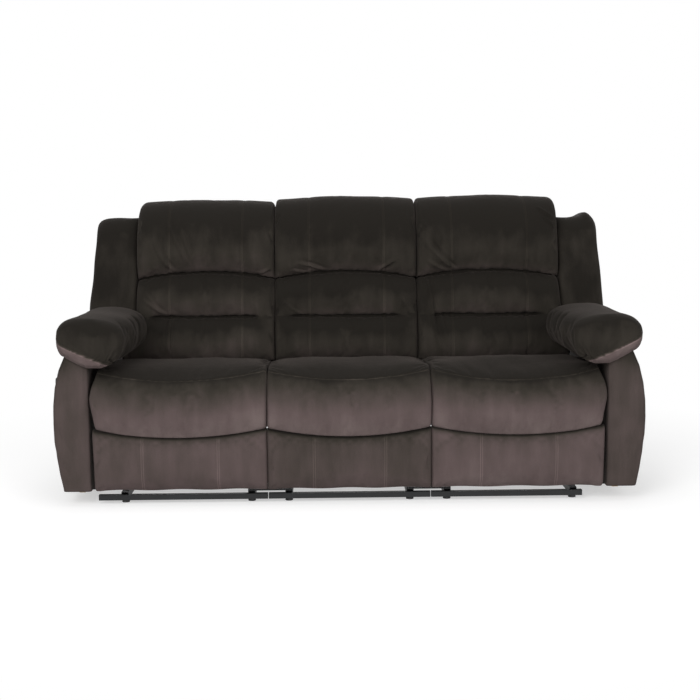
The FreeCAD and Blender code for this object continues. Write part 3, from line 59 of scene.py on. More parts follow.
# past the centre seat's edge: the centre pad's own edge, and the start of an end pad
CENTRE_PAD_PAST = 0.4
END_PAD_PAST = 1.1
SEAT_SPANS = {
    "left": (-SEAT_OUTER, -CENTRE_HALF - SEAM_GAP),
    "centre": (-CENTRE_HALF, CENTRE_HALF),
    "right": (CENTRE_HALF + SEAM_GAP, SEAT_OUTER),
}
PAD_SPANS = {
    "left": (-FOOTREST_OUTER, -CENTRE_HALF - END_PAD_PAST),
    "centre": (-CENTRE_HALF - CENTRE_PAD_PAST, CENTRE_HALF + CENTRE_PAD_PAST),
    "right": (CENTRE_HALF + END_PAD_PAST, FOOTREST_OUTER),
}
BACK_SPANS = {
    "left": (-BACK_OUTER, -CENTRE_BACK_HALF - SEAM_GAP),
    "centre": (-CENTRE_BACK_HALF, CENTRE_BACK_HALF),
    "right": (CENTRE_BACK_HALF + SEAM_GAP, BACK_OUTER + RIGHT_BACK_WIDER),
}
COVER_SPANS = {"left": (-840, -279.5), "centre": (-273.5, 273.5), "right": (279.5, 840)}
SIDES = {"left": -1, "right": 1}


# Blocks and curves

# Grid lines beside a seam, in millimetres from its middle
NEAR_SEAM = (-14, -9, -6.5, -5, -3.5, -2, 0, 2, 3.5, 5, 6.5, 9, 14)


def lines(*steps):
    """Grid lines from positions, with the number of cells between each two of them."""
    stops, counts = steps[::2], steps[1::2]
    parts = [
        np.linspace(start, end, count + 1)[:-1]
        for start, end, count in zip(stops, stops[1:], counts)
    ]
    return np.append(np.concatenate(parts), stops[-1])


def with_seams(grid, seams, length):
    """The grid lines with finer ones beside each seam of a face this many millimetres long."""
    offsets = [offset / length for offset in NEAR_SEAM]
    extra = [seam + offset for seam in seams for offset in offsets]
    reach = max(offsets) * 1.1
    kept = [line for line in grid if all(abs(line - seam) > reach for seam in seams)]
    return np.unique(np.round(kept + extra, 6))


def block_grid(a_lines, b_lines, c_lines):
    """The outside of a block of cells: one (a, b, c) row for each point, and the faces."""
    shape = (len(a_lines), len(b_lines), len(c_lines))
    number = np.arange(np.prod(shape)).reshape(shape)
    sides = (
        number[:, :, 0], number[:, :, -1], number[:, 0, :],
        number[:, -1, :], number[0, :, :], number[-1, :, :],
    )
    faces = np.concatenate([
        np.stack([side[:-1, :-1], side[1:, :-1], side[1:, 1:], side[:-1, 1:]], -1).reshape(-1, 4)
        for side in sides
    ])
    used, faces = np.unique(faces, return_inverse=True)
    i, j, k = np.unravel_index(used, shape)
    return np.column_stack([a_lines[i], b_lines[j], c_lines[k]]), faces.reshape(-1, 4)


def curve(p0, p1, p2, p3, t):
    """Cubic curve: four points, each with its binomial share of the way t."""
    t = t[:, None]
    u = 1 - t
    return u ** 3 * p0 + 3 * u * u * t * p1 + 3 * u * t * t * p2 + t ** 3 * p3


def spot(y, z, like):
    """One curve point for each station; y and z are numbers or one value a station."""
    return np.column_stack([y + 0 * like, z + 0 * like])


def chain(knots, stops, b):
    """Cubic curves end to end: curve number n holds the way between stops n and n + 1.

    A knot is a pair of sizes in millimetres, across and up the drawn view.
    """
    knots = [spot(*knot, b) for knot in knots]
    result = np.zeros((len(b), 2))
    for number in range(len(stops) - 1):
        start, end = stops[number], stops[number + 1]
        inside = (b >= start) & (b <= end)
        t = (b[inside] - start) / (end - start)
        held = [knot[inside] for knot in knots[3 * number:3 * number + 4]]
        result[inside] = curve(*held, t)
    return result


def ease(x, low, high):
    """0 below low, 1 above high, and an S-curve between."""
    t = np.clip((x - low) / (high - low), 0, 1)
    return t * t * (3 - 2 * t)


def quarter_round(distance, radius):
    """How far a rounded edge is drawn in at this distance from the side."""
    q = np.clip(1 - distance / radius, 0, 1)
    return radius * (1 - np.sqrt(1 - q * q))


def unit_way(start, end):
    """Direction from each start to its end, 1 mm long, or shorter where they nearly meet."""
    way = end - start
    return way / np.maximum(np.linalg.norm(way, axis=1, keepdims=True), 1)


def point_normals(points, faces):
    """Unit normals: the sum of the crossed diagonals of the faces round each point."""
    diagonals = (points[faces[:, n + 2]] - points[faces[:, n]] for n in (0, 1))
    cross = np.cross(*diagonals)
    total = np.zeros_like(points)
    for corner in range(4):
        for axis in range(3):
            total[:, axis] += np.bincount(faces[:, corner], cross[:, axis], len(points))
    return total / np.maximum(np.linalg.norm(total, axis=1, keepdims=True), 1e-12)


def soft_noise(x, y, seed, waves=14):
    """Smooth noise in about -1 to 1: a sum of sine waves with seeded directions."""
    rng = np.random.default_rng(seed)
    total = 0
    for _ in range(waves):
        angle, phase = rng.uniform(0, 2 * np.pi, 2)
        pace = rng.uniform(0.5, 1.6)
        total = total + np.sin(pace * (x * np.cos(angle) + y * np.sin(angle)) + phase)
    return total / np.sqrt(waves)


# Padded pieces

SOFT = {}
# Painted shade: how much darker the tone is painted on a level top than on an upright face
UPWARD_PAINTED_SHADE = 0.34
# A stitch distance too large to draw thread
NO_STITCH = 99.0
CLOTH_FRAMES = 20
CLOTH_PRESSURE = 4.0


def soft_piece(name, body, shape, grids, fill, dress, cloth=None):
    """Note one padded piece by its solid's name; it is filled and made later, with the others.

    cloth holds the coarse grid lines, the pins, the furthest that a point may move in metres
    and the share by which the cloth grows. A piece without it keeps its shape.
    """
    SOFT[name] = {
        "body": body, "shape": shape, "grids": grids, "fill": fill, "dress": dress,
        "cloth": cloth,
    }


def raw_mesh(name, points, faces):
    """A mesh object from points and four-sided faces."""
    mesh = bpy.data.meshes.new(name)
    mesh.vertices.add(len(points))
    mesh.vertices.foreach_set("co", points.astype(np.float32).ravel())
    mesh.loops.add(faces.size)
    mesh.loops.foreach_set("vertex_index", faces.astype(np.int32).ravel())
    mesh.polygons.add(len(faces))
    mesh.polygons.foreach_set("loop_start", np.arange(0, faces.size, 4, dtype=np.int32))
    mesh.update(calc_edges=True)
    obj = bpy.data.objects.new(name, mesh)
    bpy.context.scene.collection.objects.link(obj)
    return obj


def outward(points, faces):
    """Turn each face so that the closed block's volume is positive."""
    a, b, c = (points[faces[:, n]] for n in (0, 1, 2))
    d = points[faces[:, 3]]
    share = np.einsum("ij,ij->i", a, np.cross(b, c))
    share += np.einsum("ij,ij->i", a, np.cross(c, d))
    return faces if share.sum() > 0 else faces[:, ::-1]


def block_faces(a_lines, b_lines, c_lines):
    """Block grid whose faces all turn the same way round."""
    params, faces = block_grid(a_lines, b_lines, c_lines)
    middle = params[faces].mean(axis=1) - 0.5
    sides = (params[faces[:, n]] - params[faces[:, 0]] for n in (1, 3))
    flip = np.einsum("ij,ij->i", np.cross(*sides), middle) < 0
    faces[flip] = faces[flip][:, ::-1]
    return params, faces


def fill_all():
    """Blow every coarse piece up as pinned cloth; keep how far each of its points moved."""
    scene = bpy.context.scene
    scene.frame_start, scene.frame_end = 1, CLOTH_FRAMES
    made = []
    for name, piece in SOFT.items():
        if piece["cloth"] is None:
            continue
        coarse, pins, cap, growth = piece["cloth"]
        params, faces = block_faces(*coarse)
        points = piece["shape"](params) * MM
        obj = raw_mesh(name + "_cloth", points, outward(points, faces))
        held = obj.vertex_groups.new(name="held")
        weights = np.round(pins(params), 2)
        for level in np.unique(weights):
            if level > 0:
                chosen = np.flatnonzero(weights == level)
                held.add(chosen.tolist(), float(level), "REPLACE")
        cloth = obj.modifiers.new("Cloth", "CLOTH")
        cloth.settings.vertex_group_mass = "held"
        cloth.settings.use_pressure = True
        cloth.settings.uniform_pressure_force = CLOTH_PRESSURE
        cloth.settings.shrink_min = -growth
        cloth.settings.shrink_max = -growth
        cloth.settings.effector_weights.gravity = 0
        cloth.settings.quality = 4
        cloth.settings.bending_stiffness = 0.4
        cloth.point_cache.frame_start, cloth.point_cache.frame_end = 1, CLOTH_FRAMES
        made.append((piece, obj, points, cap))
    for number in range(1, CLOTH_FRAMES + 1):
        scene.frame_set(number)
    depsgraph = bpy.context.evaluated_depsgraph_get()
    for piece, obj, start, cap in made:
        mesh = obj.evaluated_get(depsgraph).data
        points = np.empty(len(mesh.vertices) * 3, np.float32)
        mesh.vertices.foreach_get("co", points)
        moved = points.reshape(-1, 3).astype(float) - start
        far = np.linalg.norm(moved, axis=1, keepdims=True)
        moved *= cap * np.tanh(far / cap) / np.maximum(far, 1e-9)
        piece["moved"] = moved
        bpy.data.objects.remove(obj, do_unlink=True)
    scene.frame_set(1)


def spline_shares(lines_held, wanted):
    """For each wanted position, four neighbouring grid lines and their Catmull-Rom shares."""
    last = len(lines_held) - 1
    cell = np.clip(np.searchsorted(lines_held, wanted, side="right") - 1, 0, last - 1)
    t = (wanted - lines_held[cell]) / (lines_held[cell + 1] - lines_held[cell])
    rows = np.stack([np.clip(cell + step, 0, last) for step in (-1, 0, 1, 2)])
    shares = np.stack([
        -0.5 * t + t ** 2 - 0.5 * t ** 3,
        1 - 2.5 * t ** 2 + 1.5 * t ** 3,
        0.5 * t + 2 * t ** 2 - 1.5 * t ** 3,
        -0.5 * t ** 2 + 0.5 * t ** 3,
    ])
    return rows, shares


def carry_over(coarse, moved, params):
    """Read the coarse block's movement at finer positions, side by side, by cubic shares."""
    shape = tuple(len(held) for held in coarse)
    rough, _ = block_grid(*coarse)
    at = tuple(np.searchsorted(coarse[axis], rough[:, axis] - 1e-9) for axis in range(3))
    field = np.zeros(shape + (3,))
    field[at] = moved
    result = np.zeros((len(params), 3))
    for fixed in range(3):
        others = [axis for axis in range(3) if axis != fixed]
        for end, index in ((0.0, 0), (1.0, -1)):
            chosen = params[:, fixed] == end
            if not chosen.any():
                continue
            side = np.take(field, index, axis=fixed)
            rows_1, shares_1 = spline_shares(coarse[others[0]], params[chosen, others[0]])
            rows_2, shares_2 = spline_shares(coarse[others[1]], params[chosen, others[1]])
            total = 0
            for m in range(4):
                for n in range(4):
                    weight = (shares_1[m] * shares_2[n])[:, None]
                    total = total + weight * side[rows_1[m], rows_2[n]]
            result[chosen] = total
    return result


def finish_soft(name, material):
    """Final mesh of a padded piece: shape, filling, then seams, folds and a tone that holds
    painted light and shade.
    """
    piece = SOFT[name]
    params, faces = block_faces(*piece["grids"])
    points = piece["shape"](params) * MM
    faces = outward(points, faces)
    if "moved" in piece:
        points = points + carry_over(piece["cloth"][0], piece["moved"], params)
    normals = point_normals(points, faces)
    lift, tone, stitch = piece["dress"](params, points, normals)
    # painted shade: level tops are painted darker than upright faces
    tone = tone - UPWARD_PAINTED_SHADE * np.clip(normals[:, 2], 0, 1)
    points = points + normals * lift[:, None] * MM
    obj = raw_mesh(name + "_soft", points, faces)
    obj.data.polygons.foreach_set("use_smooth", np.ones(len(faces), bool))
    # the nap attribute holds the tone together with its painted light and shade
    for label, values in (("nap", tone), ("stitch", stitch)):
        layer = obj.data.attributes.new(label, "FLOAT", "POINT")
        layer.data.foreach_set("value", values.astype(np.float32))
    obj.data.materials.append(material)
    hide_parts(name)
    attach(obj, piece["body"])


def channel(distance, depth, width):
    """A soft groove: a bell-shaped dip across the distance from its middle, in millimetres."""
    return -depth * np.exp(-(distance / width) ** 2)


def double_seam(distance):
    """Two stitched lines 7 mm apart in a shallow channel, in millimetres."""
    return channel(distance, 1.6, 14) + channel(np.abs(distance) - 3.5, 1.1, 1.6)


def upright_seams(x, width, seams, shift=0):
    """Lift of a face's upright double seams, and the stitch distance to the nearest one.

    The seams are shares of the width; shift draws the thread nearer to the seam's middle.
    """
    lift = np.zeros(len(x))
    stitch = np.full(len(x), NO_STITCH)
    for seam in seams:
        far = x - seam * width
        lift += double_seam(far) * 0.8
        stitch = np.minimum(stitch, np.abs(far) + shift)
    return lift, stitch


def along_and_off(x, y, start, end):
    """Share of the way along a line (0 at its start, 1 at its end), and distance off it."""
    run = np.array(end, float) - np.array(start, float)
    length = np.hypot(*run)
    run = run / length
    along = ((x - start[0]) * run[0] + (y - start[1]) * run[1]) / length
    off = -(x - start[0]) * run[1] + (y - start[1]) * run[0]
    return along, off


def stroke(x, y, start, end, width, height, bend=0):
    """One fold: a ridge with a valley beside it, along a bent line that fades at both ends."""
    along, off = along_and_off(x, y, start, end)
    inside = np.clip(along, 0, 1)
    off = off - bend * 4 * inside * (1 - inside)
    fade = np.where((along > 0) & (along < 1), np.sin(np.pi * inside) ** 0.8, 0)
    ridge = np.exp(-(off / width) ** 2) - 0.7 * np.exp(-((off - 1.7 * width) / width) ** 2)
    return height * fade * ridge


def downward(normals, low, shift=0):
    """How far a face looks down, from low (up) to 1 (down)."""
    return np.clip(-normals[:, 2] + shift, low, 1)


def hidden_or_edge(p):
    """Held: all but the inside of the visible face."""
    a, b, c = p.T
    return np.where((c > 0) | (a <= 0) | (a >= 1) | (b <= 0) | (b >= 1), 1.0, 0.0)


# Back cushions: lower tier, lumbar tier and headrest

# The shares of the way up where one curve ends and the next starts; 0.2 and 0.41 are creases
BACK_STOPS = (0, 0.2, 0.41, 0.70, 0.86, 1)
BACK_SEAMS = (0.245, 0.765)
# The way up the face in millimetres, for its folds
BACK_LENGTH = 850
BACK_PALER = {"left": 0.05, "centre": -0.02, "right": -0.02}


def crease_depth(a):
    """The lower crease fades out before both sides of the back."""
    return ease(a, 0.05, 0.17) * (1 - ease(a, 0.82, 0.93))


def back_shape(span, side):
    """Each tier is a cubic curve from crease to crease; the creases rise to the middle.

    Towards the sides the face is drawn in by a quarter round, more at the head's corners.
    """
    low_x, high_x = span

    def shape(p):
        a, b, c = p.T
        s = 2 * a - 1
        half = (high_x - low_x) / 2
        crown = 15 * np.abs(s) ** 3
        out = 1 - crease_depth(a)
        low_z = 609 + 4 * s * s
        low_y = 130 - 40 * out + crown * 0.4
        high_z = 779 - 26 * s * s
        high_y = 182 + crown * 0.4
        foot = 439 - 12 * abs(side) * (1 - s * s)
        toe = 4 * np.abs(s) ** 3
        rise = 12 * (side >= 0)
        knots = (
            (112 + toe, foot), (46 + crown, foot + 4),
            (low_y - 74 + 64 * out, low_z - 10 - 28 * out), (low_y, low_z),
            (low_y - 42 + 52 * out, low_z + 3 + 35 * out),
            (high_y - 74 + crown * 0.5, high_z - 4), (high_y, high_z),
            (high_y - 66 + crown * 0.5, high_z + 3), (132 + crown * 0.8, 940),
            (208 + crown, 1008 - 5 * s * s + rise), (236 + crown, 1035 - 6 * s * s + rise),
            (292 + crown, 1056 - 7 * s * s + rise), (345, 1050 - 6 * s * s + rise),
            (400, 1044 - 6 * s * s + rise), (460, 1030), (466, 987),
        )
        front = chain(knots, BACK_STOPS, b)
        rear = np.column_stack([302 + 112 * b ** 0.9, 461 + 524 * b ** 0.9])
        head = ease(b, 0.55, 0.75)
        side_gap = half * (1 - np.abs(s))
        outer = ease(s * side, 0.5, 0.9)
        radius = 6 + 12 * ease(b, 0.01, 0.08) + 4 * head + 12 * outer * ease(b, 0.2, 0.4)
        inset = quarter_round(side_gap, radius)
        front = front + unit_way(front, rear) * inset[:, None]
        yz = front + (rear - front) * c[:, None]
        x = low_x + a * (high_x - low_x)
        room = BACK_FOOT_OUTER - abs(high_x if side > 0 else low_x)
        flare = room * (1 - ease(b, 0.06, 0.09)) + 24 * (1 - ease(b, 0.11, 0.15))
        flare += (room - 32) * np.maximum(c * ease(b, 0.3, 0.5), ease(b, 0.88, 0.95))
        x = x + side * np.clip(flare, 0, room) * ease(s * side, 0.6, 1)
        return np.column_stack([x, yz])

    return shape


def back_pins(p):
    """Held: hidden face, side panels, underside, and the creases as deep as they are."""
    a, b, c = p.T
    on_low = np.abs(b - BACK_STOPS[1]) < 1e-6
    on_high = np.abs(b - BACK_STOPS[2]) < 1e-6
    pins = np.where(on_high, 1.0, hidden_or_edge(p))
    return np.where(on_low, np.maximum(pins, 0.9 * crease_depth(a)), pins)


def back_dress(span, name):
    """Double vertical seams, gathers at the creases, fold strokes, and a tone paler towards the
    foot, with painted sheen where it faces down and, at each crease, a painted highlight above,
    painted shade below and a dark painted shade line in it.
    """
    width = span[1] - span[0]

    def dress(p, points, normals):
        a, b, c = p.T
        x = a * width
        y = b * BACK_LENGTH
        face = (c == 0) * ease(b, 0, 0.03) * (1 - ease(b, 0.9, 1))
        lift, stitch = upright_seams(x, width, BACK_SEAMS, 0.9)
        gather = soft_noise(x / 5.5, y / 60, 7) * 1.1 + soft_noise(x / 15, y / 80, 8) * 1.0
        low = ease(a, 0.08, 0.18) * (1 - ease(a, 0.80, 0.90))
        painted_crease_light_and_shade = np.zeros(len(a))
        for stop, reach, depth in ((BACK_STOPS[1], 26, low), (BACK_STOPS[2], 34, 1.0)):
            crease = stop * BACK_LENGTH
            far = np.abs(y - crease + 1.6 * soft_noise(x / 9, 0 * x, 17 + len(name)))
            lift += gather * np.exp(-far / reach) * depth
            lift -= 12 * np.exp(-far / 5) * depth
            # painted light and shade at each crease: a pale band above it, a darker one below
            # and a dark shade line in it
            above = (y - crease) / 30
            pale = 0.12 * np.exp(-(above - 0.9) ** 2)
            dark = 0.10 * np.exp(-(above + 0.6) ** 2 * 2)
            painted_crease_light_and_shade += depth * (pale - dark)
            painted_crease_light_and_shade -= depth * 0.30 * np.exp(-(far / 4) ** 2)
        lift += soft_noise(x / 45, y / 45, 11 + len(name)) * 1.2
        for start, end, wide, high, bend in BACK_FOLDS[name]:
            lift += stroke(x, y, start, end, wide * 0.7, high * 1.7, bend)
        # painted sheen: paler where the face looks down
        tone = 0.16 + BACK_PALER[name] + 0.14 * downward(normals, -0.3, 0.2)
        tone += 0.08 * (1 - ease(b, 0, 0.25))
        return lift * face, tone + painted_crease_light_and_shade * face, stitch

    return dress


# Folds of each back: start and end across and up the face, width, height, bend, in millimetres
BACK_FOLDS = {
    "left": (
        ((120, 560), (210, 400), 9, 5, 6), ((165, 575), (225, 395), 8, 4, 4),
        ((70, 520), (150, 372), 10, 4, -5), ((30, 240), (120, 190), 8, 5, 5),
        ((40, 270), (110, 205), 7, 4, -4), ((120, 175), (105, 70), 7, 4, 3),
        ((150, 165), (140, 60), 7, 3, -3), ((520, 420), (460, 372), 7, 4, 3),
    ),
    "centre": (
        ((80, 430), (200, 362), 9, 5, 8), ((60, 400), (130, 360), 7, 4, 4),
        ((470, 440), (400, 362), 9, 5, -8), ((30, 230), (110, 185), 7, 3, 3),
        ((480, 250), (520, 190), 8, 3, 4),
    ),
    "right": (
        ((20, 560), (120, 430), 9, 4, 8), ((25, 500), (150, 372), 10, 6, 8),
        ((40, 440), (120, 365), 8, 5, 5), ((30, 330), (60, 170), 9, 6, 9),
        ((60, 200), (90, 60), 9, 6, -8), ((90, 190), (120, 70), 8, 4, -6),
        ((535, 560), (470, 600), 6, 5, 3), ((540, 530), (480, 585), 6, 4, 3),
    ),
}


# Seat cushions

# Curves: the roll's lower edge, its front up to the seam, the top's front and its rear
SEAT_STOPS = (0, 0.1, 0.27, 0.62, 1)
# The way up the roll and back over the top in millimetres, for its folds
SEAT_LENGTH = 950
SEAT_DARKER = {"left": 0.03, "centre": 0.0, "right": 0.10}
# The side view of the hidden face: its foot and rear (y) and its level (z)
SEAT_HIDDEN_Y = (-407, 180)
SEAT_HIDDEN_Z = 338


def outer_side(side, s):
    """1 at the arm's side of an end seat, 0 elsewhere."""
    if side == 0:
        return 0 * s
    return ease(s * side, 0.55, 1)


def seat_shape(span, side):
    """Front roll, seam, crowned top: cubic curves whose seam dips in the middle."""
    low_x, high_x = span

    def shape(p):
        a, b, c = p.T
        s = 2 * a - 1
        dip = 1 - s * s
        half = (high_x - low_x) / 2
        roll_low = 273.5 - 32 * dip
        seam_z = 472 - (36 if side > 0 else 29) * dip
        seam_y = -402 - 30 * dip
        bow = 5 * s * s
        sink = 14 * abs(side)
        knots = (
            (-411, roll_low), (-466, roll_low - 3), (-471 + bow, roll_low + 6),
            (-467 + bow, roll_low + 72), (-467 + bow, roll_low + 132),
            (seam_y - 24, seam_z - 24), (seam_y, seam_z), (seam_y + 32, seam_z + 18 + 4 * dip),
            (-230, 468 + 8 * dip), (-110, 462 + 8 * dip), (0, 452 + 6 * dip),
            (110, 436 - sink * dip), (180, 428 - sink * dip),
        )
        front = chain(knots, SEAT_STOPS, b)
        foot, rear = SEAT_HIDDEN_Y
        upright = roll_low + (SEAT_HIDDEN_Z - roll_low) * b / 0.2
        hidden = np.column_stack([
            foot + (rear - foot) * np.clip((b - 0.2) / 0.8, 0, 1),
            np.where(b < 0.2, upright, SEAT_HIDDEN_Z),
        ])
        side_gap = half * (1 - np.abs(s))
        inset = quarter_round(side_gap, 13 - 8 * ease(b, 0.5, 0.7))
        front = front + unit_way(front, hidden) * inset[:, None]
        yz = front + (hidden - front) * c[:, None]
        x = low_x + a * (high_x - low_x)
        swell = 1 - np.exp(-((b - 0.16) / 0.08) ** 2)
        x = x - side * outer_side(side, s) * 20 * swell * (b < 0.7)
        return np.column_stack([x, yz])

    return shape


def seat_pins(p):
    """Held: hidden faces, sides, rear, the roll's lower edge and, less firmly, the seam."""
    b = p[:, 1]
    pins = np.where(b < 0.045, 1.0, hidden_or_edge(p))
    return np.where(np.abs(b - SEAT_STOPS[2]) < 1e-6, 0.8, pins)


def seat_dress(span, name):
    """Front double seam with gathers beside it, soft unevenness, and a tone with painted light:
    the front roll paler than the top, palest low down, and paler where it faces down.
    """
    width = span[1] - span[0]

    def dress(p, points, normals):
        a, b, c = p.T
        x = a * width
        y = b * SEAT_LENGTH
        face = (c == 0) * ease(b, 0.03, 0.09)
        far = y - SEAT_STOPS[2] * SEAT_LENGTH
        lift = double_seam(far)
        stitch = np.abs(far) * 0.9
        lift += soft_noise(x / 9, y / 60, 21) * 0.8 * np.exp(-np.abs(far) / 20)
        lift += soft_noise(x / 60, y / 50, 23 + len(name)) * 2.2
        lift += soft_noise(x / 22, y / 40, 25 + len(name)) * 0.7
        roll = 1 - ease(b, 0.225, 0.30)
        low = 1 - ease(b, 0.05, 0.26)
        thread = 0.30 * np.exp(-((np.abs(far) - 4) / 2.2) ** 2)
        # painted light: the roll is painted paler than the top, palest low down; the next line
        # adds painted sheen where it faces down
        tone = 0.12 + thread - SEAT_DARKER[name] * (1 - roll) + roll * (0.25 + 0.44 * low)
        tone += 0.12 * downward(normals, -0.2)
        return lift * face, tone, stitch

    return dress


# Footrest pads

PAD_STOPS = (0, 0.25, 0.75, 1)
PAD_SEAMS = (0.285, 0.72)
# The way down the face in millimetres, and the hidden face's y
PAD_LENGTH = 235
PAD_HIDDEN_Y = -427
PAD_PALER = {"left": 0.02, "centre": -0.10, "right": 0.12}


def pad_shape(span, side):
    """Shallow pad: rounded top and bottom edges and a gently bellied front."""
    low_x, high_x = span

    def shape(p):
        a, b, c = p.T
        s = 2 * a - 1
        dip = 1 - s * s
        half = (high_x - low_x) / 2
        top = 272.6 - 32 * dip
        low = 57 + 1.5 * np.cos(3 * np.pi * s)
        knots = (
            (-434, top), (-456, top), (-458, top - 5),
            (-457, top - 34), (-460, top - 80), (-460, low + 70),
            (-455, low + 26), (-453, low + 8), (-444, low),
            (-434, low),
        )
        front = chain(knots, PAD_STOPS, b)
        inset = quarter_round(half * (1 - np.abs(s)), 12)
        depth = PAD_HIDDEN_Y - front[:, 0]
        front[:, 0] += np.minimum(inset, depth * 0.8)
        hidden = spot(PAD_HIDDEN_Y, top + (low - top) * b, b)
        yz = front + (hidden - front) * c[:, None]
        x = low_x + a * (high_x - low_x)
        x = x - side * outer_side(side, s) * 5 * b
        return np.column_stack([x, yz])

    return shape


def pad_pins(p):
    """Held: hidden face, sides, the flat top and the bottom edge."""
    return np.where(p[:, 1] < 0.16, 1.0, hidden_or_edge(p))


def pad_dress(span, name):
    """Two vertical double seams, brushed nap, painted light that makes the upright pad paler and
    paler still where it faces down, and a painted shadow strip under the roll.
    """
    width = span[1] - span[0]

    def dress(p, points, normals):
        a, b, c = p.T
        x = a * width
        y = b * PAD_LENGTH
        face = (c == 0) * ease(b, 0.12, 0.2) * (1 - ease(b, 0.95, 1))
        lift, stitch = upright_seams(x, width, PAD_SEAMS)
        lift += soft_noise(x / 28, y / 55, 31 + len(name)) * 1.2
        # painted light: the upright pad is painted paler than the tops, and paler where it faces
        # down
        tone = 0.62 + PAD_PALER[name] + 0.16 * downward(normals, -0.6)
        # painted shadow: darker along the top, under the seat's roll
        tone -= 0.16 * (1 - ease(b, 0, 0.3))
        return lift * face, tone, stitch

    return dress


# Wings beside the end backs

WING_STOPS = (0, 0.3, 0.68, 0.86, 1)
WING_INNER = {-1: 815, 1: 835}
WING_OUTER = {-1: 1003, 1: 1017}
# Width for the rounding of its edges, and the face's size for its folds, in millimetres
WING_WIDTH = 180
WING_FACE = (188, 600)


def wing_shape(side):
    """Side view like the back's lean, rounded on both faces, more on the outer one."""
    def shape(p):
        a, b, c = p.T
        if side < 0:
            a = 1 - a
        bump = (side > 0) * (16 * np.exp(-((a - 0.78) / 0.16) ** 2) - 6)
        knots = (
            (168, 577), (130, 577), (142, 650), (160, 722), (180, 800), (198, 862),
            (222, 934), (240, 974), (276, 992 + bump),
            (320, 990 + bump), (372, 987 + bump), (461, 989 + bump), (466, 950),
        )
        front = chain(knots, WING_STOPS, b)
        hidden = np.column_stack([382 + 84 * b, 577 + 373 * b])
        near = a * WING_WIDTH
        far = (1 - a) * WING_WIDTH
        top = ease(b, 0.5, 0.8)
        behind = ease(b, 0.72, 0.84)
        inset = quarter_round(near, 20 - 16 * behind) + quarter_round(far, 42 + 14 * top)
        inset = inset + 10 * top * (1 - behind) * np.exp(-(near / 26) ** 2)
        room = np.linalg.norm(hidden - front, axis=1) * 0.8
        front = front + unit_way(front, hidden) * np.minimum(inset, room)[:, None]
        yz = front + (hidden - front) * c[:, None]
        inner = WING_INNER[side]
        outer = WING_OUTER[side] - 18 * ease(b, 0.05, 0.7)
        x = side * (inner + a * (outer - inner))
        return np.column_stack([x, yz])

    return shape


def wing_dress(name):
    """Slack folds down the wing, a dark tone, and painted sheen that makes it paler where it
    faces down.
    """
    def dress(p, points, normals):
        a, b, c = p.T
        x = a * WING_FACE[0]
        y = b * WING_FACE[1]
        face = (c == 0) * ease(b, 0, 0.04) * (1 - ease(b, 0.92, 1))
        lift = soft_noise(x / 26, y / 90, 41 + len(name)) * 1.8
        lift += soft_noise(x / 60, y / 40, 43 + len(name)) * 1.5
        # painted sheen: paler where the wing faces down
        tone = 0.15 + 0.18 * downward(normals, -0.3, 0.2)
        return lift * face, tone, np.full(len(a), NO_STITCH)

    return dress


# Arm pillows

PILLOW_STOPS = (0, 0.26, 0.55, 0.86, 1)
PILLOW_OUTER = {-1: 1020, 1: 1032}
# The middle of the cross-section, in x and z
PILLOW_MIDDLE = np.array([900.0, 585.0])
# The front end's diagonal seam, in x and z, and the point that its gathers run from
PILLOW_SEAM = ((836, 503), (1026, 591))
PILLOW_GATHER = (845, 500)


def pillow_shape(side):
    """A cross-section carried front to rear: full in front, tapered beside the back.

    The front end is a bulging cap whose lower lip hangs before the arm's front face.
    """
    def shape(p):
        a, b, c = p.T
        fwd = np.interp(a, (0, 0.035, 0.05, 0.78, 1), (-470, -446.5, -443.5, 0, 118))
        taper = ease(a, 0.72, 1)
        front_end = quarter_round(fwd + 478, 62) * 0.62
        rear_end = quarter_round(126 - fwd, 60) * 0.55
        inner = 776 - 24 * ease(a, 0.08, 0.3) + 96 * taper
        tip = PILLOW_OUTER[side]
        crown = 654 - 18 * taper
        knots = (
            (inner + 44, 510 + 32 * taper), (inner + 10, 516 + 30 * taper),
            (inner - 8, 580 + 10 * taper), (inner + 14, 618), (inner + 34, 648),
            (inner + 100 - 30 * taper, crown), (inner + 168 - 70 * taper, crown),
            (inner + 230 - 80 * taper, crown - 2), (tip - 4, 612), (tip, 586),
            (tip, 564), (tip - 20, 543), (986, 541),
        )
        top = chain(knots, PILLOW_STOPS, b)
        lip = 1 - ease(a, 0.036, 0.049)
        stops = (0, 0.15, 0.35, 1)
        low_x = np.interp(b, stops, (812, 856, 902, 984))
        low_z = np.interp(b, stops, (509, 503, 540.4, 540.4))
        low_x = low_x + taper * np.interp(b, stops, (60, 40, 6, 0))
        low_z = low_z + taper * np.interp(b, stops, (31.5, 37.4, 0, 0))
        lip_z = np.interp(b, (0, 0.15, 0.35, 0.6, 1), (504, 488, 488, 500, 526))
        low_z = low_z * (1 - lip) + np.minimum(lip_z, low_z) * lip
        top[:, 1] -= lip * 16 * ease(b, 0.75, 1)
        under = np.column_stack([low_x, low_z])
        drawn = (front_end + rear_end)[:, None]
        top = top + unit_way(top, PILLOW_MIDDLE) * drawn
        under = under + unit_way(under, PILLOW_MIDDLE) * drawn * lip[:, None] * 0.5
        xz = top + (under - top) * c[:, None]
        dome = (1 - (2 * b - 1) ** 4) * (1 - (2 * c - 1) ** 2)
        fwd = fwd - 10 * dome * (a == 0) + 6 * dome * (a == 1)
        return np.column_stack([side * xz[:, 0], fwd, xz[:, 1]])

    return shape


def pillow_pins(p):
    """Held: where it rests on the arm."""
    a, b, c = p.T
    return np.where((c >= 1) & (a > 0.04), 1.0, 0.0)


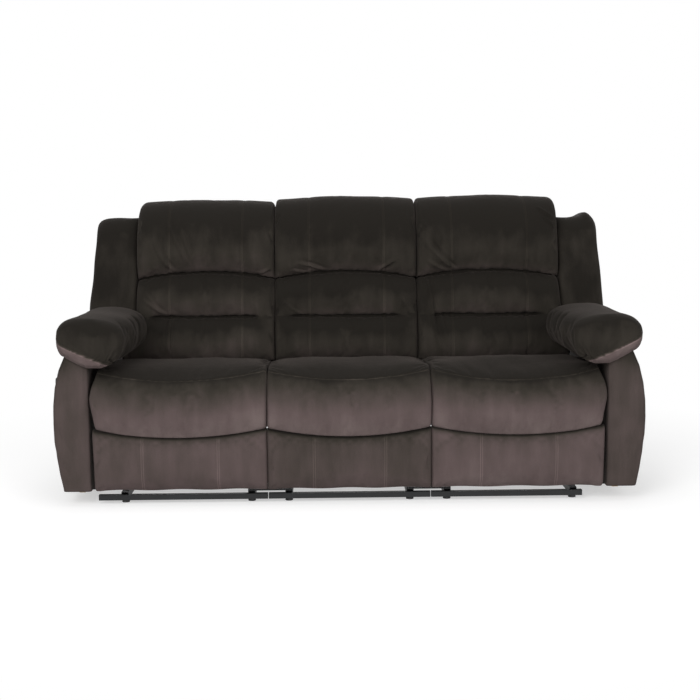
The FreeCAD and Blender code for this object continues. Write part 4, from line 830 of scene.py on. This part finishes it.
def pillow_dress(name):
    """Diagonal seam across the front end and gathers above it; painted light makes the front end
    paler, most of all below the seam.
    """
    def dress(p, points, normals):
        x, y, z = points.T / MM
        x = np.abs(x)
        along, off = along_and_off(x, z, *PILLOW_SEAM)
        front = ease(-y, 425, 452)
        held = front * ease(normals[:, 1], 0.15, -0.25)
        lift = channel(off, 3.0, 5) * held
        ray = np.arctan2(z - PILLOW_GATHER[1], x - PILLOW_GATHER[0])
        gather = np.sin(ray * 26) * np.exp(-np.clip(off, 0, 200) / 34) * ease(off, 0, 6)
        lift += 3.2 * gather * ease(-y, 360, 450) * (1 - ease(along, 0.25, 0.95))
        lift += soft_noise(x / 40, y / 60, 51 + len(name)) * 1.8
        below = ease(-off, -1, 3) * held
        # painted light: the front end is painted paler, most below the seam, and paler where it
        # faces down
        tone = 0.10 + 0.05 * held + 0.62 * below + 0.1 * downward(normals, -0.2)
        return lift * (p[:, 2] < 1), tone, np.where(held > 0.3, np.abs(off), NO_STITCH)

    return dress


# Arm covers

ARM_FRONT = 440
ARM_REAR = 330
ARM_INNER = 904
# How far out the outer side bows, at nine even steps from the bottom up
ARM_BOW = (1011, 1024, 1033, 1038, 1039, 1037, 1030, 1015, 988)
# The release's recess in the outer side: its middle, half its size and its floor
RECESS_Y = -250
RECESS_Z = 400
RECESS_HALF = (52.5, 27.5)
RECESS_X = 1000
# Folds of the front: start and end in x and z, width, height, bend
ARM_FOLDS = (
    ((1030, 240), (960, 110), 9, 2.5, 4),
    ((1020, 330), (950, 190), 9, 2.0, 4),
    ((1010, 180), (975, 80), 7, 2.0, 3),
)


def arm_shape(side):
    """Front view: upright inner side, bowed outer side, flat top; the rear corner is round.

    Round the release the outer side is pressed in to line its hand recess.
    """
    def shape(p):
        a, b, c = p.T
        fwd = np.interp(a, (0, 0.06, 0.9, 1), (-ARM_FRONT, -416, 250, ARM_REAR))
        z = 54 + 486 * b
        bow = np.interp(b, np.linspace(0, 1, 9), ARM_BOW)
        bow = bow - (8 if side < 0 else 0) * ease(-fwd, 300, 420)
        from_front = fwd + ARM_FRONT
        from_rear = ARM_REAR - fwd
        outer = bow - quarter_round(from_front, 22) * 0.8 - quarter_round(from_rear, 40) * 0.6
        inner = ARM_INNER + quarter_round(from_front, 10) * 0.8
        drop = quarter_round(np.clip(from_rear, 0, 80) + 1, 81)
        z = z - drop * b
        x = outer + (inner - outer) * c
        dome = (1 - (2 * b - 1) ** 6) * (1 - (2 * c - 1) ** 4)
        fwd = fwd - 5 * dome * (a == 0)
        in_y = np.abs(fwd - RECESS_Y) < RECESS_HALF[0]
        in_z = np.abs(z - RECESS_Z) < RECESS_HALF[1]
        x = np.where((c == 0) & in_y & in_z, RECESS_X, x)
        return np.column_stack([side * x, fwd, z])

    return shape


def arm_dress(name):
    """Faint diagonal pulls on the front and calm cloth round the recess; painted light makes the
    front and the faces that look down paler, and painted shade darkens the top under the pillow.
    """
    def dress(p, points, normals):
        a, b, c = p.T
        x, y, z = points.T / MM
        x = np.abs(x)
        front = ease(-y, 400, 432)
        lift = soft_noise(x / 40, z / 60, 61 + len(name)) * 1.2
        for fold in ARM_FOLDS:
            lift += stroke(x, z, *fold) * front
        near = np.hypot((y - RECESS_Y) / 66, (z - RECESS_Z) / 42)
        calm = 1 - ease(-near, -1.5, -1.2) * (c == 0)
        shelf = np.where((b >= 1) | (c >= 1) | (b <= 0), 0.0, 1.0)
        # painted light makes the front and the downward faces paler; painted shade darkens the
        # top, under the pillow
        tone = 0.38 + 0.14 * front + 0.14 * downward(normals, -0.6) - 0.22 * ease(z, 440, 540)
        return lift * calm * shelf, tone, np.full(len(a), NO_STITCH)

    return dress


# Outer back covers

# How far each side reaches forward, the rear face behind the frame's line, the corners'
# radius and the wall's thickness
COVER_SIDE = 50
COVER_REAR = 54.0
COVER_TURN = 14.0
COVER_WALL = 7.5
# The lower edge and the height, and the frame's foot (y and z) with its lean of 12 degrees
COVER_LOW = 200
COVER_HEIGHT = 785
FRAME_FOOT = (250, 215)
FRAME_LEAN = 0.21256


def cover_shape(span):
    """A thin padded wall bent round the back frame: side, rear, side, leaning with the frame.

    a follows the bend, b goes up, c through the wall; the rear bellies out by 2 mm.
    """
    width = span[1] - span[0]

    def shape(p):
        a, b, c = p.T
        way = a * (width + 2 * COVER_SIDE) - COVER_SIDE
        z = COVER_LOW + COVER_HEIGHT * b
        lean = FRAME_FOOT[0] + (z - FRAME_FOOT[1]) * FRAME_LEAN
        wall = COVER_WALL * c
        out = COVER_REAR + np.minimum(way, 0) + np.minimum(width - way, 0)
        corner = quarter_round(np.minimum(np.abs(way), np.abs(width - way)), COVER_TURN)
        inside = (way > 0) & (way < width)
        inward = np.where(way <= 0, 1, -1)
        x = np.clip(way, 0, width)
        x = np.where(inside, x, x + inward * corner * 0.6 + inward * wall)
        y = np.where(inside, out - corner * 0.6 - wall - 2 + 2 * np.sin(np.pi * b), out)
        on_low = np.abs(way) < 1e-6
        on_high = np.abs(way - width) < 1e-6
        x = np.where(on_low, wall + corner * 0.3, x)
        x = np.where(on_high, width - wall - corner * 0.3, x)
        y = np.where(on_low | on_high, COVER_REAR - corner * 0.3 - wall, y)
        return np.column_stack([span[0] + x, lean + y, z])

    return shape


def cover_dress(p, points, normals):
    """Slack ripples in the outer back, calm near its edges."""
    a, b, c = p.T
    x, y, z = points.T / MM
    lift = soft_noise(x / 60, z / 130, 71) * (c == 0) * np.sin(np.pi * b) * np.sin(np.pi * a)
    tone = 0.2 + 0.1 * soft_noise(x / 150, z / 200, 73)
    return lift, tone, np.full(len(a), NO_STITCH)


# Finishes

def srgb(text):
    """Linear colour of an sRGB hex value."""
    parts = [int(text[n:n + 2], 16) / 255 for n in (1, 3, 5)]
    return [x / 12.92 if x <= 0.04045 else ((x + 0.055) / 1.055) ** 2.4 for x in parts] + [1.0]


def node(tree, kind, links=(), **settings):
    """Add one node; settings name its properties or sockets, links join (input, source)."""
    made = tree.nodes.new(kind)
    for name, value in settings.items():
        if hasattr(made, name):
            setattr(made, name, value)
        else:
            made.inputs[name.replace("_", " ")].default_value = value
    for target, source in links:
        tree.links.new(made.inputs[target], source)
    return made


def maths(tree, operation, *given):
    """Result of a maths node; each input is a number or another node's output."""
    made = node(tree, "ShaderNodeMath", operation=operation)
    for place, value in zip(made.inputs, given):
        if isinstance(value, float):
            place.default_value = value
        else:
            tree.links.new(place, value)
    return made.outputs[0]


def noise(tree, place, **settings):
    """Noise read at a place in metres; Scale is its number of patches a metre."""
    return node(tree, "ShaderNodeTexNoise", links=((0, place),), **settings).outputs[0]


def stretched(tree, place, scale):
    """The place with its axes scaled, so that a texture is drawn out along the smaller one."""
    made = node(tree, "ShaderNodeMapping", links=((0, place),), Scale=scale)
    return made.outputs[0]


def colour_steps(tree, source, stops):
    """A colour ramp from (position, hex) stops."""
    ramp = node(tree, "ShaderNodeValToRGB", links=((0, source),))
    held = ramp.color_ramp.elements
    while len(held) < len(stops):
        held.new(0.5)
    for element, (position, text) in zip(held, stops):
        element.position = position
        element.color = srgb(text)
    return ramp.outputs[0]


def bump(tree, height, strength, distance):
    """A bump node of this height texture; the distance is in metres."""
    links = (("Height", height),)
    return node(tree, "ShaderNodeBump", links=links, Strength=strength, Distance=distance)


def new_material(name):
    """An empty node material: it, its tree, and the place on the object in metres."""
    material = bpy.data.materials.new(name)
    material.use_nodes = True
    tree = material.node_tree
    tree.nodes.clear()
    return material, tree, node(tree, "ShaderNodeTexCoord").outputs["Object"]


def principled(tree, colour, normal=None, links=(), **settings):
    """The usual surface shader, joined to the material's output."""
    links = (("Base Color", colour),) + links
    if normal:
        links += (("Normal", normal.outputs[0]),)
    shader = node(tree, "ShaderNodeBsdfPrincipled", links=links, **settings)
    node(tree, "ShaderNodeOutputMaterial", links=((0, shader.outputs[0]),))


def brushed_velvet():
    """Polyester velvet, knitted, sheared and brushed: the nap lies in patches, so the same
    dye looks darker or paler, and it glows where it is seen edge-on.
    """
    material, tree, place = new_material("brushed_velvet")
    # hand-brushed streaks about 30 mm wide and 150 mm tall
    streak = noise(
        tree, stretched(tree, place, (1.0, 1.0, 0.22)), Scale=22.0, Detail=3.0, Roughness=0.55,
    )
    # broad patches where sitting or handling turned the nap, about 120 mm
    patch = noise(tree, place, Scale=7.0, Detail=2.0, Roughness=0.5)
    # single tufts are 0.3 mm; drawn at 1.6 mm so that they show
    tuft = noise(tree, place, Scale=620.0, Detail=1.0)
    # each noise adds up to half its share to the nap's tone, or takes it away
    parts = [
        maths(tree, "MULTIPLY_ADD", source, share, -share / 2)
        for source, share in ((streak, 0.34), (patch, 0.36), (tuft, 0.20))
    ]
    # the nap attribute brings each piece's painted light and shade into the tone
    parts.append(node(tree, "ShaderNodeAttribute", attribute_name="nap").outputs["Fac"])
    tone = parts[0]
    for part in parts[1:]:
        tone = maths(tree, "ADD", tone, part)
    colour = colour_steps(tree, tone, (
        (0.0, "#171410"), (0.25, "#2D2924"), (0.5, "#423A37"), (0.75, "#544847"),
        (1.0, "#675B59"),
    ))
    # pale thread lines 3.5 mm each side of a seam's middle, 1.5 times as bright
    seam = node(tree, "ShaderNodeAttribute", attribute_name="stitch").outputs["Fac"]
    far = maths(tree, "ABSOLUTE", maths(tree, "SUBTRACT", seam, 3.5))
    line = node(
        tree, "ShaderNodeMapRange", links=((0, far),),
        From_Min=0.5, From_Max=2.2, To_Min=1.5, To_Max=1.0,
    )
    shade = node(
        tree, "ShaderNodeMix", links=((6, colour), (7, line.outputs[0])),
        data_type="RGBA", blend_type="MULTIPLY",
    )
    shade.inputs[0].default_value = 1.0
    pile = bump(tree, tuft, 0.35, 0.0012)
    wave = bump(tree, streak, 0.25, 0.006)
    tree.links.new(wave.inputs["Normal"], pile.outputs[0])
    principled(
        tree, shade.outputs[2], wave, Roughness=0.92, Specular_IOR_Level=0.15,
        Sheen_Weight=0.10, Sheen_Roughness=0.38, Sheen_Tint=srgb("#A89A94"),
    )
    return material


def painted_steel():
    """Mild steel tube and plate, powder-coated black: a low gloss with fine orange peel."""
    material, tree, place = new_material("powder_coated_steel")
    peel = noise(tree, place, Scale=520.0, Detail=2.0)
    cloud = noise(tree, place, Scale=14.0, Detail=3.0)
    colour = colour_steps(tree, cloud, ((0.3, "#141516"), (0.7, "#1B1C1D")))
    rough = node(tree, "ShaderNodeMapRange", links=((0, cloud),), To_Min=0.42, To_Max=0.56)
    principled(
        tree, colour, bump(tree, peel, 0.25, 0.0006),
        links=(("Roughness", rough.outputs[0]),), Specular_IOR_Level=0.3,
    )
    return material


def drawn_wire():
    """Spring steel, cold drawn: grey, with fine lengthwise draw marks."""
    material, tree, place = new_material("drawn_spring_steel")
    marks = noise(tree, place, Scale=240.0, Detail=3.0)
    colour = colour_steps(tree, marks, ((0.3, "#7C7E80"), (0.7, "#A2A4A6")))
    principled(tree, colour, Metallic=1.0, Roughness=0.38)
    return material


def birch_plywood():
    """Birch plywood, sanded: pale, with a figure drawn out along its face."""
    material, tree, place = new_material("sanded_birch_plywood")
    drawn = stretched(tree, place, (0.12, 1.0, 1.0))
    figure = noise(tree, drawn, Scale=60.0, Detail=4.0, Distortion=0.6)
    colour = colour_steps(tree, figure, ((0.25, "#A98A5E"), (0.5, "#C4A677"), (0.75, "#D2B98D")))
    principled(tree, colour, bump(tree, figure, 0.15, 0.0008), Roughness=0.6)
    return material


def moulded_plastic():
    """ABS, moulded with a fine spark texture: black and nearly matt."""
    material, tree, place = new_material("textured_abs")
    grain = noise(tree, place, Scale=900.0, Detail=1.0)
    colour = colour_steps(tree, grain, ((0.3, "#161616"), (0.7, "#1F1F20")))
    principled(tree, colour, bump(tree, grain, 0.3, 0.0004), Roughness=0.48)
    return material


# Studio: floor, surroundings, lights and camera

def share_of_rays(tree, *kinds):
    """1 for rays of these kinds, 0 for all others."""
    path = node(tree, "ShaderNodeLightPath")
    total = path.outputs[kinds[0]]
    for kind in kinds[1:]:
        total = maths(tree, "MAXIMUM", total, path.outputs[kind])
    return total


def white_light(tree, kind, strength):
    """Plain white light: an emission or background shader of this strength."""
    return node(tree, kind, Color=(1, 1, 1, 1), Strength=strength)


def mixed(tree, share, first, second):
    """A mix of two shaders: the share is the second one's."""
    links = ((0, share), (1, first.outputs[0]), (2, second.outputs[0]))
    return node(tree, "ShaderNodeMixShader", links=links)


def floor_material():
    """Pale studio floor: white to the camera, darker only where the sofa shades it.

    From 1.2 m to 2.2 m from the middle it fades to plain white.
    """
    material, tree, place = new_material("studio_floor")
    plain = node(tree, "ShaderNodeBsdfDiffuse", Color=(0.6, 0.6, 0.6, 1))
    glow = white_light(tree, "ShaderNodeEmission", 0.5)
    near = node(
        tree, "ShaderNodeAddShader", links=((0, plain.outputs[0]), (1, glow.outputs[0])),
    )
    white = white_light(tree, "ShaderNodeEmission", 1.0)
    reach = node(tree, "ShaderNodeVectorMath", links=((0, place),), operation="LENGTH")
    fade = node(
        tree, "ShaderNodeMapRange", links=((0, reach.outputs["Value"]),),
        From_Min=1.2, From_Max=2.2,
    )
    seen = share_of_rays(tree, "Is Camera Ray", "Is Glossy Ray")
    both = mixed(tree, fade.outputs[0], near, white)
    surface = mixed(tree, seen, plain, both)
    node(tree, "ShaderNodeOutputMaterial", links=((0, surface.outputs[0]),))
    return material


def light_world():
    """Even studio surroundings; camera, mirror and clear rays see white."""
    world = bpy.data.worlds.new("studio")
    world.use_nodes = True
    tree = world.node_tree
    tree.nodes.clear()
    soft = white_light(tree, "ShaderNodeBackground", 0.36)
    white = white_light(tree, "ShaderNodeBackground", 1.0)
    seen = share_of_rays(tree, "Is Camera Ray", "Is Glossy Ray", "Is Transmission Ray")
    both = mixed(tree, seen, soft, white)
    node(tree, "ShaderNodeOutputWorld", links=((0, both.outputs[0]),))
    bpy.context.scene.world = world


def soft_box(name, place, target, size, power):
    """A square studio softbox aimed at a point."""
    data = bpy.data.lights.new(name, "AREA")
    data.shape = "SQUARE"
    data.size = size
    data.energy = power
    lamp = bpy.data.objects.new(name, data)
    lamp.location = place
    lamp.rotation_euler = (Vector(target) - Vector(place)).to_track_quat("-Z", "Y").to_euler()
    bpy.context.scene.collection.objects.link(lamp)


def stand_camera():
    """Camera 4.85 m before the sofa and 1.09 m up, tilted and turned as the photograph is."""
    data = bpy.data.cameras.new("camera")
    data.sensor_width = 36.0
    # fitted: a focal length of 1284 pixels in a photograph 700 pixels wide
    data.lens = 1284 / 700 * data.sensor_width
    camera = bpy.data.objects.new("camera", data)
    turn = Matrix.Rotation(np.radians(-0.88), 4, "Z")
    tilt = Matrix.Rotation(np.radians(90 - 7.1), 4, "X")
    roll = Matrix.Rotation(np.radians(-0.45), 4, "Z")
    camera.matrix_world = Matrix.Translation((-0.063, -4.848, 1.094)) @ turn @ tilt @ roll
    bpy.context.scene.collection.objects.link(camera)
    bpy.context.scene.camera = camera


def lay_floor():
    """A wide plain floor under the sofa, 60 m a side."""
    points = np.array([(-30, -30, 0), (30, -30, 0), (30, 30, 0), (-30, 30, 0)], float)
    floor = raw_mesh("floor", points, np.array([[0, 1, 2, 3]]))
    floor.data.materials.append(floor_material())


# Make everything

COARSE_ACROSS = lines(0, 3, 0.05, 44, 0.95, 3, 1)


def moving_body(seat, part):
    """An end seat's own moving body; the centre seat stands on the base."""
    return f"{seat}_{part}" if seat in SIDES else "base"


stand_camera()

for seat, span in BACK_SPANS.items():
    across = lines(0, 12, 0.08, 78, 0.92, 12, 1)
    up = lines(0, 26, 0.18, 6, 0.2, 6, 0.22, 26, 0.39, 6, 0.41, 6, 0.43, 44, 0.7, 40, 1)
    coarse_up = lines(0, 14, 0.2, 15, 0.41, 20, 0.7, 16, 1)
    soft_piece(
        f"{seat}_back_cushion", moving_body(seat, "back"),
        back_shape(span, SIDES.get(seat, 0)),
        (with_seams(across, BACK_SEAMS, span[1] - span[0]), up, lines(0, 10, 1)),
        0.7, back_dress(span, seat),
        cloth=((COARSE_ACROSS, coarse_up, lines(0, 4, 1)), back_pins, 0.013, 0.018),
    )

for seat, span in SEAT_SPANS.items():
    across = lines(0, 10, 0.06, 84, 0.94, 10, 1)
    along = lines(0, 20, 0.1, 34, 0.27, 110, 1)
    coarse_along = lines(0, 8, 0.1, 14, 0.27, 24, 0.62, 22, 1)
    soft_piece(
        f"{seat}_seat_cushion", moving_body(seat, "seat"),
        seat_shape(span, SIDES.get(seat, 0)),
        (across, with_seams(along, (SEAT_STOPS[2],), SEAT_LENGTH), lines(0, 8, 1)),
        0.85, seat_dress(span, seat),
        cloth=((COARSE_ACROSS, coarse_along, lines(0, 3, 1)), seat_pins, 0.010, 0.015),
    )

for seat, span in PAD_SPANS.items():
    across = lines(0, 8, 0.05, 90, 0.95, 8, 1)
    down = lines(0, 16, 0.25, 24, 0.75, 14, 1)
    part = "front_pad" if seat == "centre" else "footrest_pad"
    soft_piece(
        f"{seat}_{part}", moving_body(seat, "footrest"),
        pad_shape(span, SIDES.get(seat, 0)),
        (with_seams(across, PAD_SEAMS, span[1] - span[0]), down, lines(0, 4, 1)),
        0.9, pad_dress(span, seat),
        cloth=((COARSE_ACROSS, lines(0, 20, 1), lines(0, 2, 1)), pad_pins, 0.006, 0.012),
    )

for name, side in SIDES.items():
    soft_piece(
        f"{name}_back_wing", f"{name}_back", wing_shape(side),
        (lines(0, 8, 0.2, 12, 0.6, 16, 1), lines(0, 110, 1), lines(0, 10, 1)),
        0.7, wing_dress(name),
        cloth=(
            (lines(0, 16, 1), lines(0, 46, 1), lines(0, 8, 1)), hidden_or_edge, 0.012, 0.03,
        ),
    )
    along = lines(0, 8, 0.034, 5, 0.05, 30, 0.2, 76, 1)
    coarse_along = lines(0, 3, 0.034, 2, 0.05, 52, 1)
    soft_piece(
        f"{name}_arm_pillow", "base", pillow_shape(side),
        (along, lines(0, 84, 1), lines(0, 20, 1)), 0.7, pillow_dress(name),
        cloth=((coarse_along, lines(0, 34, 1), lines(0, 8, 1)), pillow_pins, 0.010, 0.03),
    )

for name, side in SIDES.items():
    along = lines(0, 12, 0.06, 24, 0.24, 26, 0.38, 60, 0.9, 14, 1)
    up = lines(0, 44, 0.6, 20, 0.82, 16, 1)
    soft_piece(
        f"{name}_arm_cover", "base", arm_shape(side), (along, up, lines(0, 14, 1)),
        0.85, arm_dress(name),
    )

for seat, span in COVER_SPANS.items():
    whole = span[1] - span[0] + 2 * COVER_SIDE
    edge = COVER_SIDE / whole
    turn = COVER_TURN / whole
    bend = lines(
        0, 6, edge - turn, 6, edge, 8, edge + turn, 60, 1 - edge - turn, 8, 1 - edge, 6,
        1 - edge + turn, 6, 1,
    )
    soft_piece(
        f"{seat}_back_cover", moving_body(seat, "back"), cover_shape(span),
        (bend, lines(0, 90, 1), lines(0, 2, 1)), 0.85, cover_dress,
    )

fill_all()

velvet = brushed_velvet()
for name in SOFT:
    finish_soft(name, velvet)

steel = painted_steel()
wire = drawn_wire()
ply = birch_plywood()
plastic = moulded_plastic()
for label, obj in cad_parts.items():
    if "springs" in label:
        finish = wire
    elif label.endswith(("_panel", "_frame", "_board")):
        finish = ply
    elif label.endswith(("bezels", "paddle", "feet")):
        finish = plastic
    else:
        finish = steel
    for held in obj.material_slots:
        held.material = finish

lay_floor()
light_world()
soft_box("key", (-2.0, -4.6, 2.6), (0, 0, 0.5), 3.0, 190)
soft_box("fill", (2.8, -4.6, 1.8), (0, 0, 0.5), 3.0, 110)
soft_box("rear", (0, 5.0, 2.2), (0, 0, 0.5), 3.0, 70)
soft_box("top", (0, -0.4, 4.2), (0, 0, 0.4), 2.5, 35)
bpy.context.scene.view_settings.view_transform = "Standard"
